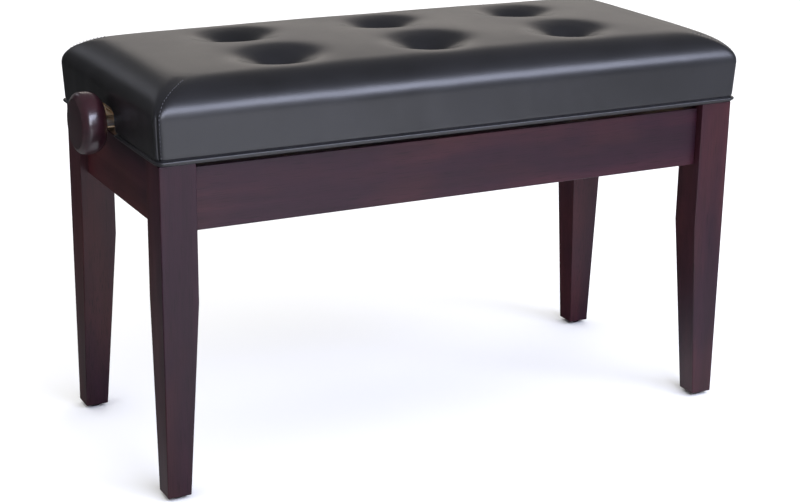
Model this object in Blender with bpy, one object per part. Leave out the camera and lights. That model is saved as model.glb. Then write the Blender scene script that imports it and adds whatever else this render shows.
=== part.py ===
"""Height-adjustable piano bench: a four-legged wooden base, a scissor lift turned by end
knobs, and a tufted vinyl seat that rests on the leg tops when it is fully lowered.

Axes: X along the bench, Y from front to back, Z up, origin on the floor under the middle.
All named sizes are in millimetres. The seat is modelled fully lowered.
"""
import math

import bmesh
import bpy
from mathutils import Matrix, Vector

# ---- base: legs and aprons -------------------------------------------------------------
LEG_SPAN_X = 740.0          # across the outer faces of the legs
LEG_SPAN_Y = 320.0
LEG_HEIGHT = 386.9          # floor to leg top
LEG_TOP_SIZE = 42.0         # square section above the knee
LEG_FOOT_SIZE = 28.0        # square section at the foot
LEG_KNEE_Z = 230.0          # the inner faces taper below this height
GLIDE_HEIGHT = 4.0
GLIDE_RADIUS = 9.0
GLIDE_CHAMFER = 1.4
APRON_HEIGHT = 71.0
APRON_DROP = 6.9            # apron top below the leg top
APRON_THICK = 18.0
APRON_RECESS = 10.0         # from the legs' outer faces
BLOCK_SIDE = 43.0           # corner block, length glued to each apron
BLOCK_HEIGHT = 32.0
BLOCK_DROP = 13.0           # block top below the apron top

# ---- seat -------------------------------------------------------------------------------
SEAT_FRAME_INSET = 2.0      # softwood box, inside the legs' outer faces
SEAT_RAIL_THICK = 20.0
SEAT_RAIL_HEIGHT = 40.8
BOARD_THICK = 9.0
COVER_PAD = 5.0             # covered side panel at the welt, outside the softwood box
COVER_FLARE = 2.0           # how much further out it stands at its top
COVER_CORNER = 12.0
WELT_RADIUS = 2.8
WELT_CLEAR = 0.8            # welt to the legs' outer faces, in plan
WELT_STOP = 1.0             # from the arch to the welt's cut end
EDGE_ROLL_WIDTH = 50.0
EDGE_ROLL_HEIGHT = 33.0
CROWN_HEIGHT = 7.0
TUFT_SPACING_X = 191.0
TUFT_SPACING_Y = 124.0
TUFT_DEPTH = 24.0
TUFT_SPREAD = 28.0
RIM_HELD = 6.0
BUTTON_RADIUS = 9.0
BUTTON_HEIGHT = 5.0
NOTCH_WIDTH = 44.0          # opening for the screw in the softwood end rails
NOTCH_ABOVE = 11.0          # its top above the screw centre
NOTCH_CORNER = 3.0
ARCH_WIDTH = 56.0           # the cover is cut back wider than the wood
ARCH_ABOVE = 19.0
ARCH_CORNER = 9.0

# ---- lift: screw, knobs and scissor arms -------------------------------------------------
SCREW_RISE = 21.0           # screw centre above the apron top
SCREW_RADIUS = 6.0
KNOB_RADIUS = 35.0
KNOB_THICK = 29.0
KNOB_FACE_RADIUS = 27.5     # flat faces; the rim swells between them like a barrel
KNOB_SWELL = 2.4            # power of the swell: 2 is round, more is squarer
KNOB_CLEAR = 6.0            # knob to the widest part of the cover
KNOB_SOCKET_DEPTH = 16.0
COLLAR_RADIUS = 12.0
COLLAR_WIDTH = 10.0
PLATE_THICK = 4.0
PLATE_WIDTH = 44.0
PLATE_ABOVE = 15.0          # bearing plate above and below the screw centre
PLATE_BELOW = 71.0
ARM_LENGTH = 360.0          # between the end centres
ARM_WIDTH = 20.0
ARM_THICK = 4.0
ARM_LOW_DEG = 7.0           # angle above level with the seat down
SEAT_TRAVEL = 90.0
PIN_RADIUS = 4.0
PIN_HEAD = 2.0              # pin length past the last plate
STEEL_THICK = 3.0
RAIL_MARGIN = 30.0          # rail length past each end centre of the arms
BASE_RAIL_DROP = 4.0        # rail top below the apron top
BASE_RAIL_HEIGHT = 41.0
BASE_RAIL_FOOT = 19.0
PIVOT_RISE = 17.0           # lower pivot above the bottom of the base rail
LIFT_RAIL_EDGE = 12.0       # rail below the upper pivot
LIFT_RAIL_FLANGE = 25.0
CARRIAGE_WIDTH = 24.0
CARRIAGE_BACK = 18.0
CARRIAGE_FRONT = 20.0
CARRIAGE_ABOVE = 14.0       # above the screw centre
CARRIAGE_BELOW = 12.0       # below the lower pivots

# ---- fits ---------------------------------------------------------------------------------
GAP = 0.3                   # between pieces that meet
RUN_CLEAR = 0.08            # radial, round a turning shaft
ARM_GAP = 1.0               # between neighbouring arms and rails
SLOT_RISE = 1.2             # play above and below a sliding pin
CENTRE_PLAY = 1.2           # radial play of the centre pin in the inner arm
SLOT_END = 3.0              # spare length past a sliding pin's travel
CARRIAGE_PLAY = 3.6         # lost motion of the sliding shaft in the carriage

MM = 0.001
ROUND_SEGMENTS = 24
KNOB_SEGMENTS = 32
CUT_PAST = 5.0              # how far a cutting body runs past the piece
FULL = 2.0 * math.pi

# ---- places that follow from the sizes ----------------------------------------------------
LEG_X = LEG_SPAN_X / 2.0
LEG_Y = LEG_SPAN_Y / 2.0
APRON_TOP_Z = LEG_HEIGHT - APRON_DROP
APRON_BOTTOM_Z = APRON_TOP_Z - APRON_HEIGHT
INNER_X = LEG_X - APRON_RECESS - APRON_THICK        # inner faces of the aprons
INNER_Y = LEG_Y - APRON_RECESS - APRON_THICK

SEAT_BOTTOM_Z = LEG_HEIGHT + GAP
FRAME_X = LEG_X - SEAT_FRAME_INSET
FRAME_Y = LEG_Y - SEAT_FRAME_INSET
BOARD_BOTTOM_Z = SEAT_BOTTOM_Z + SEAT_RAIL_HEIGHT + GAP
BOARD_TOP_Z = BOARD_BOTTOM_Z + BOARD_THICK
CUSHION_BOTTOM_Z = BOARD_TOP_Z + GAP
COVER_LOW_X = FRAME_X + COVER_PAD
COVER_LOW_Y = FRAME_Y + COVER_PAD
COVER_X = COVER_LOW_X + COVER_FLARE
COVER_Y = COVER_LOW_Y + COVER_FLARE
WELT_Z = SEAT_BOTTOM_Z + WELT_RADIUS

SCREW_Z = APRON_TOP_Z + SCREW_RISE
KNOB_INNER_X = COVER_X + KNOB_CLEAR

BASE_RAIL_TOP_Z = APRON_TOP_Z - BASE_RAIL_DROP
BASE_RAIL_BOTTOM_Z = BASE_RAIL_TOP_Z - BASE_RAIL_HEIGHT
LOWER_PIVOT_Z = BASE_RAIL_BOTTOM_Z + PIVOT_RISE
ARM_LOW = math.radians(ARM_LOW_DEG)
ARM_HIGH = math.asin(math.sin(ARM_LOW) + SEAT_TRAVEL / ARM_LENGTH)
UPPER_PIVOT_Z = LOWER_PIVOT_Z + ARM_LENGTH * math.sin(ARM_LOW)
PIVOT_X = -ARM_LENGTH / 2.0
SLIDE_FAR_X = PIVOT_X + ARM_LENGTH * math.cos(ARM_LOW)
SLIDE_NEAR_X = PIVOT_X + ARM_LENGTH * math.cos(ARM_HIGH)
RAIL_HALF = ARM_LENGTH / 2.0 + RAIL_MARGIN

# Distances from the middle plane to the outward faces of the lift's layers
BASE_RAIL_Y = INNER_Y - GAP
OUTER_ARM_Y = BASE_RAIL_Y - STEEL_THICK - ARM_GAP
INNER_ARM_Y = OUTER_ARM_Y - ARM_THICK - ARM_GAP
LIFT_RAIL_Y = INNER_ARM_Y - ARM_THICK - ARM_GAP

MATERIALS = {
    "stained_wood": ((0.062, 0.026, 0.032), 0.0, 0.38),
    "knob_lacquer": ((0.055, 0.014, 0.020), 0.0, 0.22),
    "softwood": ((0.62, 0.43, 0.25), 0.0, 0.7),
    "plywood": ((0.50, 0.36, 0.22), 0.0, 0.7),
    "vinyl": ((0.018, 0.018, 0.021), 0.0, 0.42),
    "welt_vinyl": ((0.020, 0.020, 0.023), 0.0, 0.36),
    "zinc_steel": ((0.55, 0.56, 0.57), 1.0, 0.35),
    "black_steel": ((0.03, 0.03, 0.032), 0.3, 0.5),
    "nylon": ((0.02, 0.02, 0.02), 0.0, 0.5),
}


def make_material(name):
    colour, metallic, roughness = MATERIALS[name]
    material = bpy.data.materials.new(name)
    material.use_nodes = True
    shader = material.node_tree.nodes["Principled BSDF"]
    shader.inputs["Base Color"].default_value = (*colour, 1.0)
    shader.inputs["Metallic"].default_value = metallic
    shader.inputs["Roughness"].default_value = roughness
    return material


def add_object(name, mesh_data, material, origin=(0.0, 0.0, 0.0)):
    """Turn a bmesh in millimetres into an object in metres with its origin at a point."""
    bmesh.ops.remove_doubles(mesh_data, verts=mesh_data.verts, dist=1e-4)
    bmesh.ops.recalc_face_normals(mesh_data, faces=mesh_data.faces)
    shift = Matrix.Scale(MM, 4) @ Matrix.Translation(-Vector(origin))
    bmesh.ops.transform(mesh_data, matrix=shift, verts=mesh_data.verts)
    mesh = bpy.data.meshes.new(name)
    mesh_data.to_mesh(mesh)
    mesh_data.free()
    mesh.materials.append(LIBRARY[material])
    item = bpy.data.objects.new(name, mesh)
    item.location = Vector(origin) * MM
    bpy.context.scene.collection.objects.link(item)
    return item


def skin(rings):
    """Close a stack of equal rings into one body with flat end caps."""
    mesh_data = bmesh.new()
    rows = []
    for ring in rings:
        rows.append([mesh_data.verts.new(point) for point in ring])
    count = len(rows[0])
    for low, high in zip(rows, rows[1:]):
        for i in range(count):
            j = (i + 1) % count
            mesh_data.faces.new((low[i], low[j], high[j], high[i]))
    mesh_data.faces.new(list(reversed(rows[0])))
    mesh_data.faces.new(rows[-1])
    return mesh_data


def block(x_range, y_range, z_range):
    x0, x1 = sorted(x_range)
    y0, y1 = sorted(y_range)
    plan = ((x0, y0), (x1, y0), (x1, y1), (x0, y1))
    return skin([[(x, y, z) for x, y in plan] for z in sorted(z_range)])


def prism_y(outline, y_range):
    """Extrude an (x, z) outline along Y."""
    return skin([[(x, y, z) for x, z in outline] for y in sorted(y_range)])


def prism_x(outline, x_range):
    """Extrude a (y, z) outline along X."""
    return skin([[(x, y, z) for y, z in outline] for x in sorted(x_range)])


def circle(centre, radius, segments=ROUND_SEGMENTS):
    steps = (FULL * i / segments for i in range(segments))
    return [(centre[0] + radius * math.cos(a), centre[1] + radius * math.sin(a)) for a in steps]


def obround(start, end, radius, segments=8):
    """Outline of a bar or slot with round ends, from one end centre to the other."""
    heading = math.atan2(end[1] - start[1], end[0] - start[0])
    outline = []
    for centre, turn in ((end, heading - math.pi / 2.0), (start, heading + math.pi / 2.0)):
        for i in range(segments + 1):
            a = turn + math.pi * i / segments
            outline.append((centre[0] + radius * math.cos(a), centre[1] + radius * math.sin(a)))
    return outline


def cut(item, cutter_data):
    """Take a body in world millimetres away from an object."""
    cutter = add_object("cutter", cutter_data, "zinc_steel")
    tool = item.modifiers.new("cut", "BOOLEAN")
    tool.operation = "DIFFERENCE"
    tool.solver = "EXACT"
    tool.object = cutter
    bpy.context.view_layer.update()
    graph = bpy.context.evaluated_depsgraph_get()
    result = bpy.data.meshes.new_from_object(item.evaluated_get(graph))
    item.modifiers.clear()
    item.data = result
    bpy.data.objects.remove(cutter, do_unlink=True)
    return item


def rounded_ring(half_x, half_y, corner, z, along_x=1, along_y=1, per_corner=4):
    """Anticlockwise rounded rectangle with extra points along its straight sides."""
    points = []
    inner_x = half_x - corner
    inner_y = half_y - corner
    sides = ((1, -1, 0, along_y), (1, 1, 1, along_x), (-1, 1, 2, along_y), (-1, -1, 3, along_x))
    for sx, sy, quarter, steps in sides:
        for i in range(per_corner + 1):
            a = math.pi / 2.0 * (quarter - 1 + i / per_corner)
            x = sx * inner_x + corner * math.cos(a)
            y = sy * inner_y + corner * math.sin(a)
            points.append((x, y, z))
        a = math.pi / 2.0 * quarter
        start = (sx * inner_x + corner * math.cos(a), sy * inner_y + corner * math.sin(a))
        if quarter in (0, 2):
            end = (start[0], -start[1])
        else:
            end = (-start[0], start[1])
        for i in range(1, steps):
            t = i / steps
            points.append((start[0] + (end[0] - start[0]) * t, start[1] + (end[1] - start[1]) * t, z))
    return points


# ---- base ---------------------------------------------------------------------------------
def leg_plan(sx, sy, size):
    """Square section that keeps its outer corner on the leg span."""
    plan = ((LEG_X - size, LEG_Y - size), (LEG_X, LEG_Y - size), (LEG_X, LEG_Y), (LEG_X - size, LEG_Y))
    return [(sx * x, sy * y) for x, y in plan]


def make_legs():
    levels = ((GLIDE_HEIGHT + GAP, LEG_FOOT_SIZE), (LEG_KNEE_Z, LEG_TOP_SIZE), (LEG_HEIGHT, LEG_TOP_SIZE))
    dome = ((0.0, GLIDE_RADIUS - GLIDE_CHAMFER), (GLIDE_CHAMFER, GLIDE_RADIUS), (GLIDE_HEIGHT, GLIDE_RADIUS))
    for label, sx, sy in CORNERS:
        rings = [[(x, y, z) for x, y in leg_plan(sx, sy, size)] for z, size in levels]
        add_object("leg_" + label, skin(rings), "stained_wood")
        foot = (sx * (LEG_X - LEG_FOOT_SIZE / 2.0), sy * (LEG_Y - LEG_FOOT_SIZE / 2.0))
        rings = [[(x, y, z) for x, y in circle(foot, radius)] for z, radius in dome]
        add_object("glide_" + label, skin(rings), "nylon")


def make_aprons():
    end_x = LEG_X - LEG_TOP_SIZE - GAP
    end_y = LEG_Y - LEG_TOP_SIZE - GAP
    height = (APRON_BOTTOM_Z, APRON_TOP_Z)
    for label, side in SIDES:
        depth = (side * INNER_Y, side * (INNER_Y + APRON_THICK))
        add_object("apron_" + label, block((-end_x, end_x), depth, height), "stained_wood")
    for label, side in ENDS:
        width = (side * INNER_X, side * (INNER_X + APRON_THICK))
        add_object("apron_" + label, block(width, (-end_y, end_y), height), "stained_wood")


def make_corner_blocks():
    """Diagonal blocks glued into the corners, notched round the legs."""
    face_x = INNER_X - GAP
    face_y = INNER_Y - GAP
    leg_x = LEG_X - LEG_TOP_SIZE - GAP
    leg_y = LEG_Y - LEG_TOP_SIZE - GAP
    plan = ((leg_x, face_y), (leg_x - BLOCK_SIDE, face_y), (face_x, leg_y - BLOCK_SIDE),
            (face_x, leg_y), (leg_x, leg_y))
    top_z = APRON_TOP_Z - BLOCK_DROP
    for label, sx, sy in CORNERS:
        rings = []
        for z in (top_z - BLOCK_HEIGHT, top_z):
            rings.append([(sx * x, sy * y, z) for x, y in plan])
        add_object("corner_block_" + label, skin(rings), "softwood")


# ---- lift -----------------------------------------------------------------------------------
def make_slotted_rail(name, outline, face, side, pivot_z):
    """Steel angle along the bench with a pivot hole at one end and a slot at the other."""
    outline = [(side * y, z) for y, z in outline]
    rail = add_object(name, prism_x(outline, (-RAIL_HALF, RAIL_HALF)), "zinc_steel")
    span = (side * (face + CUT_PAST), side * (face - STEEL_THICK - CUT_PAST))
    cut(rail, prism_y(circle((PIVOT_X, pivot_z), PIN_RADIUS + RUN_CLEAR), span))
    slot_ends = ((SLIDE_NEAR_X - SLOT_END, pivot_z), (SLIDE_FAR_X + SLOT_END, pivot_z))
    cut(rail, prism_y(obround(*slot_ends, PIN_RADIUS + SLOT_RISE), span))


def make_rails():
    for label, side in SIDES:
        outer = BASE_RAIL_Y
        inner = outer - STEEL_THICK
        foot = outer - BASE_RAIL_FOOT
        low = BASE_RAIL_BOTTOM_Z
        outline = ((outer, low), (outer, BASE_RAIL_TOP_Z), (inner, BASE_RAIL_TOP_Z),
                   (inner, low + STEEL_THICK), (foot, low + STEEL_THICK), (foot, low))
        make_slotted_rail("base_rail_" + label, outline, outer, side, LOWER_PIVOT_Z)
        outer = LIFT_RAIL_Y
        inner = outer - STEEL_THICK
        flange = outer - LIFT_RAIL_FLANGE
        low = UPPER_PIVOT_Z - LIFT_RAIL_EDGE
        high = BOARD_BOTTOM_Z - GAP
        outline = ((outer, low), (outer, high), (flange, high), (flange, high - STEEL_THICK),
                   (inner, high - STEEL_THICK), (inner, low))
        make_slotted_rail("lift_rail_" + label, outline, outer, side, UPPER_PIVOT_Z)


def make_arm(name, start, end, face, side, centre_hole, origin):
    """Flat bar from one pivot to the other, with a hole at each end and in the middle."""
    span = (side * face, side * (face - ARM_THICK))
    arm = add_object(name, prism_y(obround(start, end, ARM_WIDTH / 2.0), span), "zinc_steel", origin)
    middle = ((start[0] + end[0]) / 2.0, (start[1] + end[1]) / 2.0)
    through = (side * (face + CUT_PAST), side * (face - ARM_THICK - CUT_PAST))
    end_hole = PIN_RADIUS + RUN_CLEAR
    for centre, radius in ((start, end_hole), (end, end_hole), (middle, centre_hole)):
        cut(arm, prism_y(circle(centre, radius), through))


def make_pin(name, centre, span, origin):
    add_object(name, prism_y(circle(centre, PIN_RADIUS), span), "zinc_steel", origin)


def make_scissor():
    """Outer arms turn on the base rails, inner arms on the lift rails; both slide at +X."""
    low_left = (PIVOT_X, LOWER_PIVOT_Z)
    high_left = (PIVOT_X, UPPER_PIVOT_Z)
    low_right = (SLIDE_FAR_X, LOWER_PIVOT_Z)
    high_right = (SLIDE_FAR_X, UPPER_PIVOT_Z)
    middle = ((PIVOT_X + SLIDE_FAR_X) / 2.0, (LOWER_PIVOT_Z + UPPER_PIVOT_Z) / 2.0)
    base_axis = (PIVOT_X, 0.0, LOWER_PIVOT_Z)
    seat_axis = (PIVOT_X, 0.0, UPPER_PIVOT_Z)
    past_lift = LIFT_RAIL_Y - STEEL_THICK - PIN_HEAD
    half_gap = ARM_GAP / 2.0
    for label, side in SIDES:
        make_arm("arm_outer_" + label, low_left, high_right, OUTER_ARM_Y, side,
                 PIN_RADIUS + RUN_CLEAR, base_axis)
        make_arm("arm_inner_" + label, high_left, low_right, INNER_ARM_Y, side,
                 PIN_RADIUS + CENTRE_PLAY, seat_axis)
        make_pin("slide_pin_" + label, high_right, (side * OUTER_ARM_Y, side * past_lift), base_axis)
        make_pin("centre_pin_" + label, middle,
                 (side * (OUTER_ARM_Y + half_gap), side * (LIFT_RAIL_Y + half_gap)), base_axis)
        make_pin("upper_pin_" + label, high_left, (side * INNER_ARM_Y, side * past_lift), seat_axis)
    make_pin("lower_shaft", low_left, (-BASE_RAIL_Y, BASE_RAIL_Y), base_axis)
    make_pin("slide_shaft", low_right, (-BASE_RAIL_Y, BASE_RAIL_Y), seat_axis)


def make_bearing_plates():
    """Upright plates on the side aprons that carry the screw above the apron tops."""
    outer = INNER_X - GAP
    half = PLATE_WIDTH / 2.0
    height = (SCREW_Z - PLATE_BELOW, SCREW_Z + PLATE_ABOVE)
    hole = circle((0.0, SCREW_Z), SCREW_RADIUS + RUN_CLEAR)
    for label, side in ENDS:
        width = (side * outer, side * (outer - PLATE_THICK))
        plate = add_object("bearing_plate_" + label, block(width, (-half, half), height), "zinc_steel")
        cut(plate, prism_x(hole, (side * (outer + CUT_PAST), side * (outer - PLATE_THICK - CUT_PAST))))


def make_screw():
    """The screw runs the whole length, with its ends in the knobs' sockets."""
    axis = (0.0, 0.0, SCREW_Z)
    end = KNOB_INNER_X + KNOB_SOCKET_DEPTH - GAP
    add_object("lead_screw", prism_x(circle((0.0, SCREW_Z), SCREW_RADIUS), (-end, end)), "zinc_steel", axis)
    socket = SCREW_RADIUS + GAP
    profile = [(KNOB_SOCKET_DEPTH, socket), (0.0, socket)]
    steps = 12
    for i in range(steps + 1):
        off_middle = math.cos(math.pi * i / steps)
        fall = (KNOB_RADIUS - KNOB_FACE_RADIUS) * abs(off_middle) ** KNOB_SWELL
        profile.append((KNOB_THICK * (1.0 - off_middle) / 2.0, KNOB_RADIUS - fall))
    for label, side in ENDS:
        rings = []
        for depth, radius in profile:
            x = side * (KNOB_INNER_X + depth)
            rings.append([(x, y, z) for y, z in circle((0.0, SCREW_Z), radius, KNOB_SEGMENTS)])
        add_object("knob_" + label, skin(rings), "knob_lacquer", axis)
        inner = INNER_X - GAP - PLATE_THICK - ARM_GAP
        outline = circle((0.0, SCREW_Z), COLLAR_RADIUS)
        collar = add_object("collar_" + label, prism_x(outline, (side * inner, side * (inner - COLLAR_WIDTH))),
                            "zinc_steel", axis)
        span = (side * (inner + CUT_PAST), side * (inner - COLLAR_WIDTH - CUT_PAST))
        cut(collar, prism_x(circle((0.0, SCREW_Z), socket), span))


def make_carriage():
    """Nut block on the screw with a leg reaching down to the scissor's sliding shaft."""
    half = CARRIAGE_WIDTH / 2.0
    width = (SLIDE_FAR_X - CARRIAGE_BACK, SLIDE_FAR_X + CARRIAGE_FRONT)
    height = (LOWER_PIVOT_Z - CARRIAGE_BELOW, SCREW_Z + CARRIAGE_ABOVE)
    origin = (SLIDE_FAR_X, 0.0, SCREW_Z)
    item = add_object("nut_carriage", block(width, (-half, half), height), "black_steel", origin)
    bore = circle((0.0, SCREW_Z), SCREW_RADIUS + RUN_CLEAR)
    cut(item, prism_x(bore, (width[0] - CUT_PAST, width[1] + CUT_PAST)))
    slot_ends = ((SLIDE_FAR_X, LOWER_PIVOT_Z), (SLIDE_FAR_X + CARRIAGE_PLAY, LOWER_PIVOT_Z))
    slot = obround(*slot_ends, PIN_RADIUS + SLOT_RISE)
    cut(item, prism_y(slot, (-half - CUT_PAST, half + CUT_PAST)))


# ---- seat -----------------------------------------------------------------------------------
def opening(width, above, corner):
    """Outline over the screw with rounded top corners, down past the bottom of the seat."""
    top_z = SCREW_Z + above
    outline = []
    for side, first in ((1, 0), (-1, 90)):
        for i in range(7):
            a = math.radians(first + 15.0 * i)
            centre_y = side * (width / 2.0 - corner)
            outline.append((centre_y + corner * math.cos(a), top_z - corner + corner * math.sin(a)))
    floor_z = SEAT_BOTTOM_Z - CUT_PAST
    return outline + [(-width / 2.0, floor_z), (width / 2.0, floor_z)]


def make_seat_frame():
    height = (SEAT_BOTTOM_Z, SEAT_BOTTOM_Z + SEAT_RAIL_HEIGHT)
    for label, side in SIDES:
        depth = (side * FRAME_Y, side * (FRAME_Y - SEAT_RAIL_THICK))
        add_object("seat_rail_" + label, block((-FRAME_X, FRAME_X), depth, height), "softwood")
    end_y = FRAME_Y - SEAT_RAIL_THICK - GAP
    for label, side in ENDS:
        width = (side * FRAME_X, side * (FRAME_X - SEAT_RAIL_THICK))
        rail = add_object("seat_rail_" + label, block(width, (-end_y, end_y), height), "softwood")
        span = (side * (FRAME_X + CUT_PAST), side * (FRAME_X - SEAT_RAIL_THICK - CUT_PAST))
        cut(rail, prism_x(opening(NOTCH_WIDTH, NOTCH_ABOVE, NOTCH_CORNER), span))
    plan = ((-FRAME_X, FRAME_X), (-FRAME_Y, FRAME_Y))
    add_object("seat_board", block(*plan, (BOARD_BOTTOM_Z, BOARD_TOP_Z)), "plywood")


def make_cover_band():
    """Covered sides of the seat: a ring round the frame, arched over the screw at each end."""
    low_z = WELT_Z + WELT_RADIUS + GAP
    outer_low = rounded_ring(COVER_LOW_X, COVER_LOW_Y, COVER_CORNER, low_z)
    outer_high = rounded_ring(COVER_X, COVER_Y, COVER_CORNER, BOARD_TOP_Z)
    inner_x = FRAME_X + GAP
    inner_y = FRAME_Y + GAP
    band = add_object("cover_band", skin([outer_low, outer_high]), "vinyl")
    core = block((-inner_x, inner_x), (-inner_y, inner_y), (low_z - CUT_PAST, BOARD_TOP_Z + CUT_PAST))
    cut(band, core)
    for _, side in ENDS:
        span = (side * (inner_x - CUT_PAST), side * (COVER_X + CUT_PAST))
        cut(band, prism_x(opening(ARCH_WIDTH, ARCH_ABOVE, ARCH_CORNER), span))


def make_welt():
    """Round welt under the cover band, in two lengths that stop at the arches."""
    half_x = LEG_X + WELT_CLEAR + WELT_RADIUS
    half_y = LEG_Y + WELT_CLEAR + WELT_RADIUS
    stop_y = ARCH_WIDTH / 2.0 + WELT_STOP
    steps = 6
    for label, side in SIDES:
        path = [(-half_x, side * stop_y, 0.0)]
        for sx, first in ((-1, 0), (1, steps)):
            for i in range(steps + 1):
                a = math.pi / 2.0 * abs(first - i) / steps
                x = sx * (half_x - COVER_CORNER + COVER_CORNER * math.cos(a))
                y = side * (half_y - COVER_CORNER + COVER_CORNER * math.sin(a))
                path.append((x, y, 0.0))
        path.append((half_x, side * stop_y, 0.0))
        rings = []
        for i, point in enumerate(path):
            before = Vector(path[max(i - 1, 0)])
            after = Vector(path[min(i + 1, len(path) - 1)])
            outward = Vector((0.0, 0.0, 1.0)).cross((after - before).normalized())
            ring = []
            for across, up in circle((0.0, 0.0), WELT_RADIUS, 8):
                spot = Vector(point) + outward * across
                ring.append((spot.x, spot.y, WELT_Z + up))
            rings.append(ring)
        add_object("welt_" + label, skin(rings), "welt_vinyl")


def tuft_centres():
    for row, sy in SIDES:
        for column, sx in (("left", -1), ("middle", 0), ("right", 1)):
            yield row + "_" + column, sx * TUFT_SPACING_X, sy * TUFT_SPACING_Y / 2.0


def crown(x, y, inset):
    """Height of the padded top above its base at a plan position a distance in from the edge."""
    edge = max(0.0, 1.0 - inset / EDGE_ROLL_WIDTH)
    middle = 1.0 - inset / COVER_Y
    height = EDGE_ROLL_HEIGHT * math.sqrt(1.0 - edge * edge) + CROWN_HEIGHT * (1.0 - middle * middle)
    for _, cx, cy in tuft_centres():
        away = ((x - cx) ** 2 + (y - cy) ** 2) / (TUFT_SPREAD ** 2)
        height -= TUFT_DEPTH * math.exp(-away / 2.0) * min(1.0, max(0.0, inset / RIM_HELD))
    return height


def ring_insets():
    """Close rings over the rolled edge, then even ones in to the middle line."""
    roll_steps = 7
    top_steps = 7
    roll = [EDGE_ROLL_WIDTH * (1.0 - math.cos(math.pi / 2.0 * i / roll_steps)) for i in range(roll_steps + 1)]
    last = COVER_Y - 1.0
    top = [EDGE_ROLL_WIDTH + (last - EDGE_ROLL_WIDTH) * (i + 1) / top_steps for i in range(top_steps)]
    return roll + top


def make_cushion():
    rings = []
    for inset in ring_insets():
        corner = min(COVER_CORNER + 0.6 * inset, 0.9 * (COVER_Y - inset))
        flat = rounded_ring(COVER_X - inset, COVER_Y - inset, corner, 0.0, 24, 8)
        rings.append([(x, y, CUSHION_BOTTOM_Z + crown(x, y, inset)) for x, y, _ in flat])
    cushion = add_object("cushion", skin(rings), "vinyl")
    for label, x, y in tuft_centres():
        floor_z = CUSHION_BOTTOM_Z + crown(x, y, COVER_Y - abs(y)) - BUTTON_HEIGHT
        pocket = circle((x, y), BUTTON_RADIUS + GAP)
        height = (floor_z, floor_z + EDGE_ROLL_HEIGHT + CROWN_HEIGHT)
        cut(cushion, skin([[(px, py, z) for px, py in pocket] for z in height]))
        rings = []
        steps = 4
        for i in range(steps + 1):
            a = math.pi / 2.0 * i / (steps + 1)
            ring = circle((x, y), BUTTON_RADIUS * math.cos(a), 20)
            z = floor_z + GAP + (BUTTON_HEIGHT - GAP) * math.sin(a)
            rings.append([(px, py, z) for px, py in ring])
        add_object("button_" + label, skin(rings), "vinyl")


SIDES = (("front", -1), ("rear", 1))
ENDS = (("left", -1), ("right", 1))
CORNERS = (("front_left", -1, -1), ("front_right", 1, -1), ("rear_left", -1, 1), ("rear_right", 1, 1))

for old in list(bpy.data.objects):
    bpy.data.objects.remove(old, do_unlink=True)
LIBRARY = {name: make_material(name) for name in MATERIALS}

make_legs()
make_aprons()
make_corner_blocks()
make_rails()
make_bearing_plates()
make_screw()
make_carriage()
make_scissor()
make_seat_frame()
make_cover_band()
make_welt()
make_cushion()
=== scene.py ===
"""Adjustable duet piano bench: tufted vinyl seat on a scissor lift, on a stained wood frame.

Lengths in the code are millimetres; mm() turns them into the metres of the frame.
"""

import math

import bmesh
import bpy
from mathutils import Matrix, Vector, noise


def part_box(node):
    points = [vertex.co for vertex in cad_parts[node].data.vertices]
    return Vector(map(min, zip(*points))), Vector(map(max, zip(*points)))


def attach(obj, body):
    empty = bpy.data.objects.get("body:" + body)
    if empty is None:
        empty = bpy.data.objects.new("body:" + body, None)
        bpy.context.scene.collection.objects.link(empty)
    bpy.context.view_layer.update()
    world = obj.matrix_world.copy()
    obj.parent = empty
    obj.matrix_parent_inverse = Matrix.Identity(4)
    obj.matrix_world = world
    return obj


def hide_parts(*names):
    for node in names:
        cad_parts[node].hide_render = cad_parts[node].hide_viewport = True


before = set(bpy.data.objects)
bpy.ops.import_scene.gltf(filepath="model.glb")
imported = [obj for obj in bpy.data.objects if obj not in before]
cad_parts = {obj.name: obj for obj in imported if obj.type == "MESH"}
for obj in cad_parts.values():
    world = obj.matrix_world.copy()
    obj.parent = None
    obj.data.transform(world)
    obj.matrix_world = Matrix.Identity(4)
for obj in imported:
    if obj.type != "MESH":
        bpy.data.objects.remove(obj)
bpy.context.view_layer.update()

ENDS = (("left", -1), ("right", 1))
SIDES = (("front", -1), ("rear", 1))


def mm(length):
    return length / 1000.0


def sizes(node):
    """Lowest and highest corner of a CAD node in millimetres."""
    low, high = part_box(node)
    return low * 1000.0, high * 1000.0


# ---------------------------------------------------------------- camera and stage

AZIMUTH, ELEVATION, ROLL = math.radians(-27.47), math.radians(18.09), math.radians(0.83)
DISTANCE = 2.2338
TARGET = Vector((-0.0021, -0.0020, 0.1971))


def make_camera():
    back = Vector((math.sin(AZIMUTH) * math.cos(ELEVATION), -math.cos(AZIMUTH) * math.cos(ELEVATION),
                   math.sin(ELEVATION)))
    right = Vector((0.0, 0.0, 1.0)).cross(back).normalized()
    up = back.cross(right)
    tilted_right = math.cos(ROLL) * right + math.sin(ROLL) * up
    tilted_up = -math.sin(ROLL) * right + math.cos(ROLL) * up
    place = Matrix((tilted_right, tilted_up, back)).transposed().to_4x4()
    place.translation = TARGET + back * DISTANCE
    data = bpy.data.cameras.new("bench_camera")
    data.lens = 80.93
    data.sensor_width = 36.0
    camera = bpy.data.objects.new("bench_camera", data)
    camera.matrix_world = place
    bpy.context.scene.collection.objects.link(camera)
    bpy.context.scene.camera = camera


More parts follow.
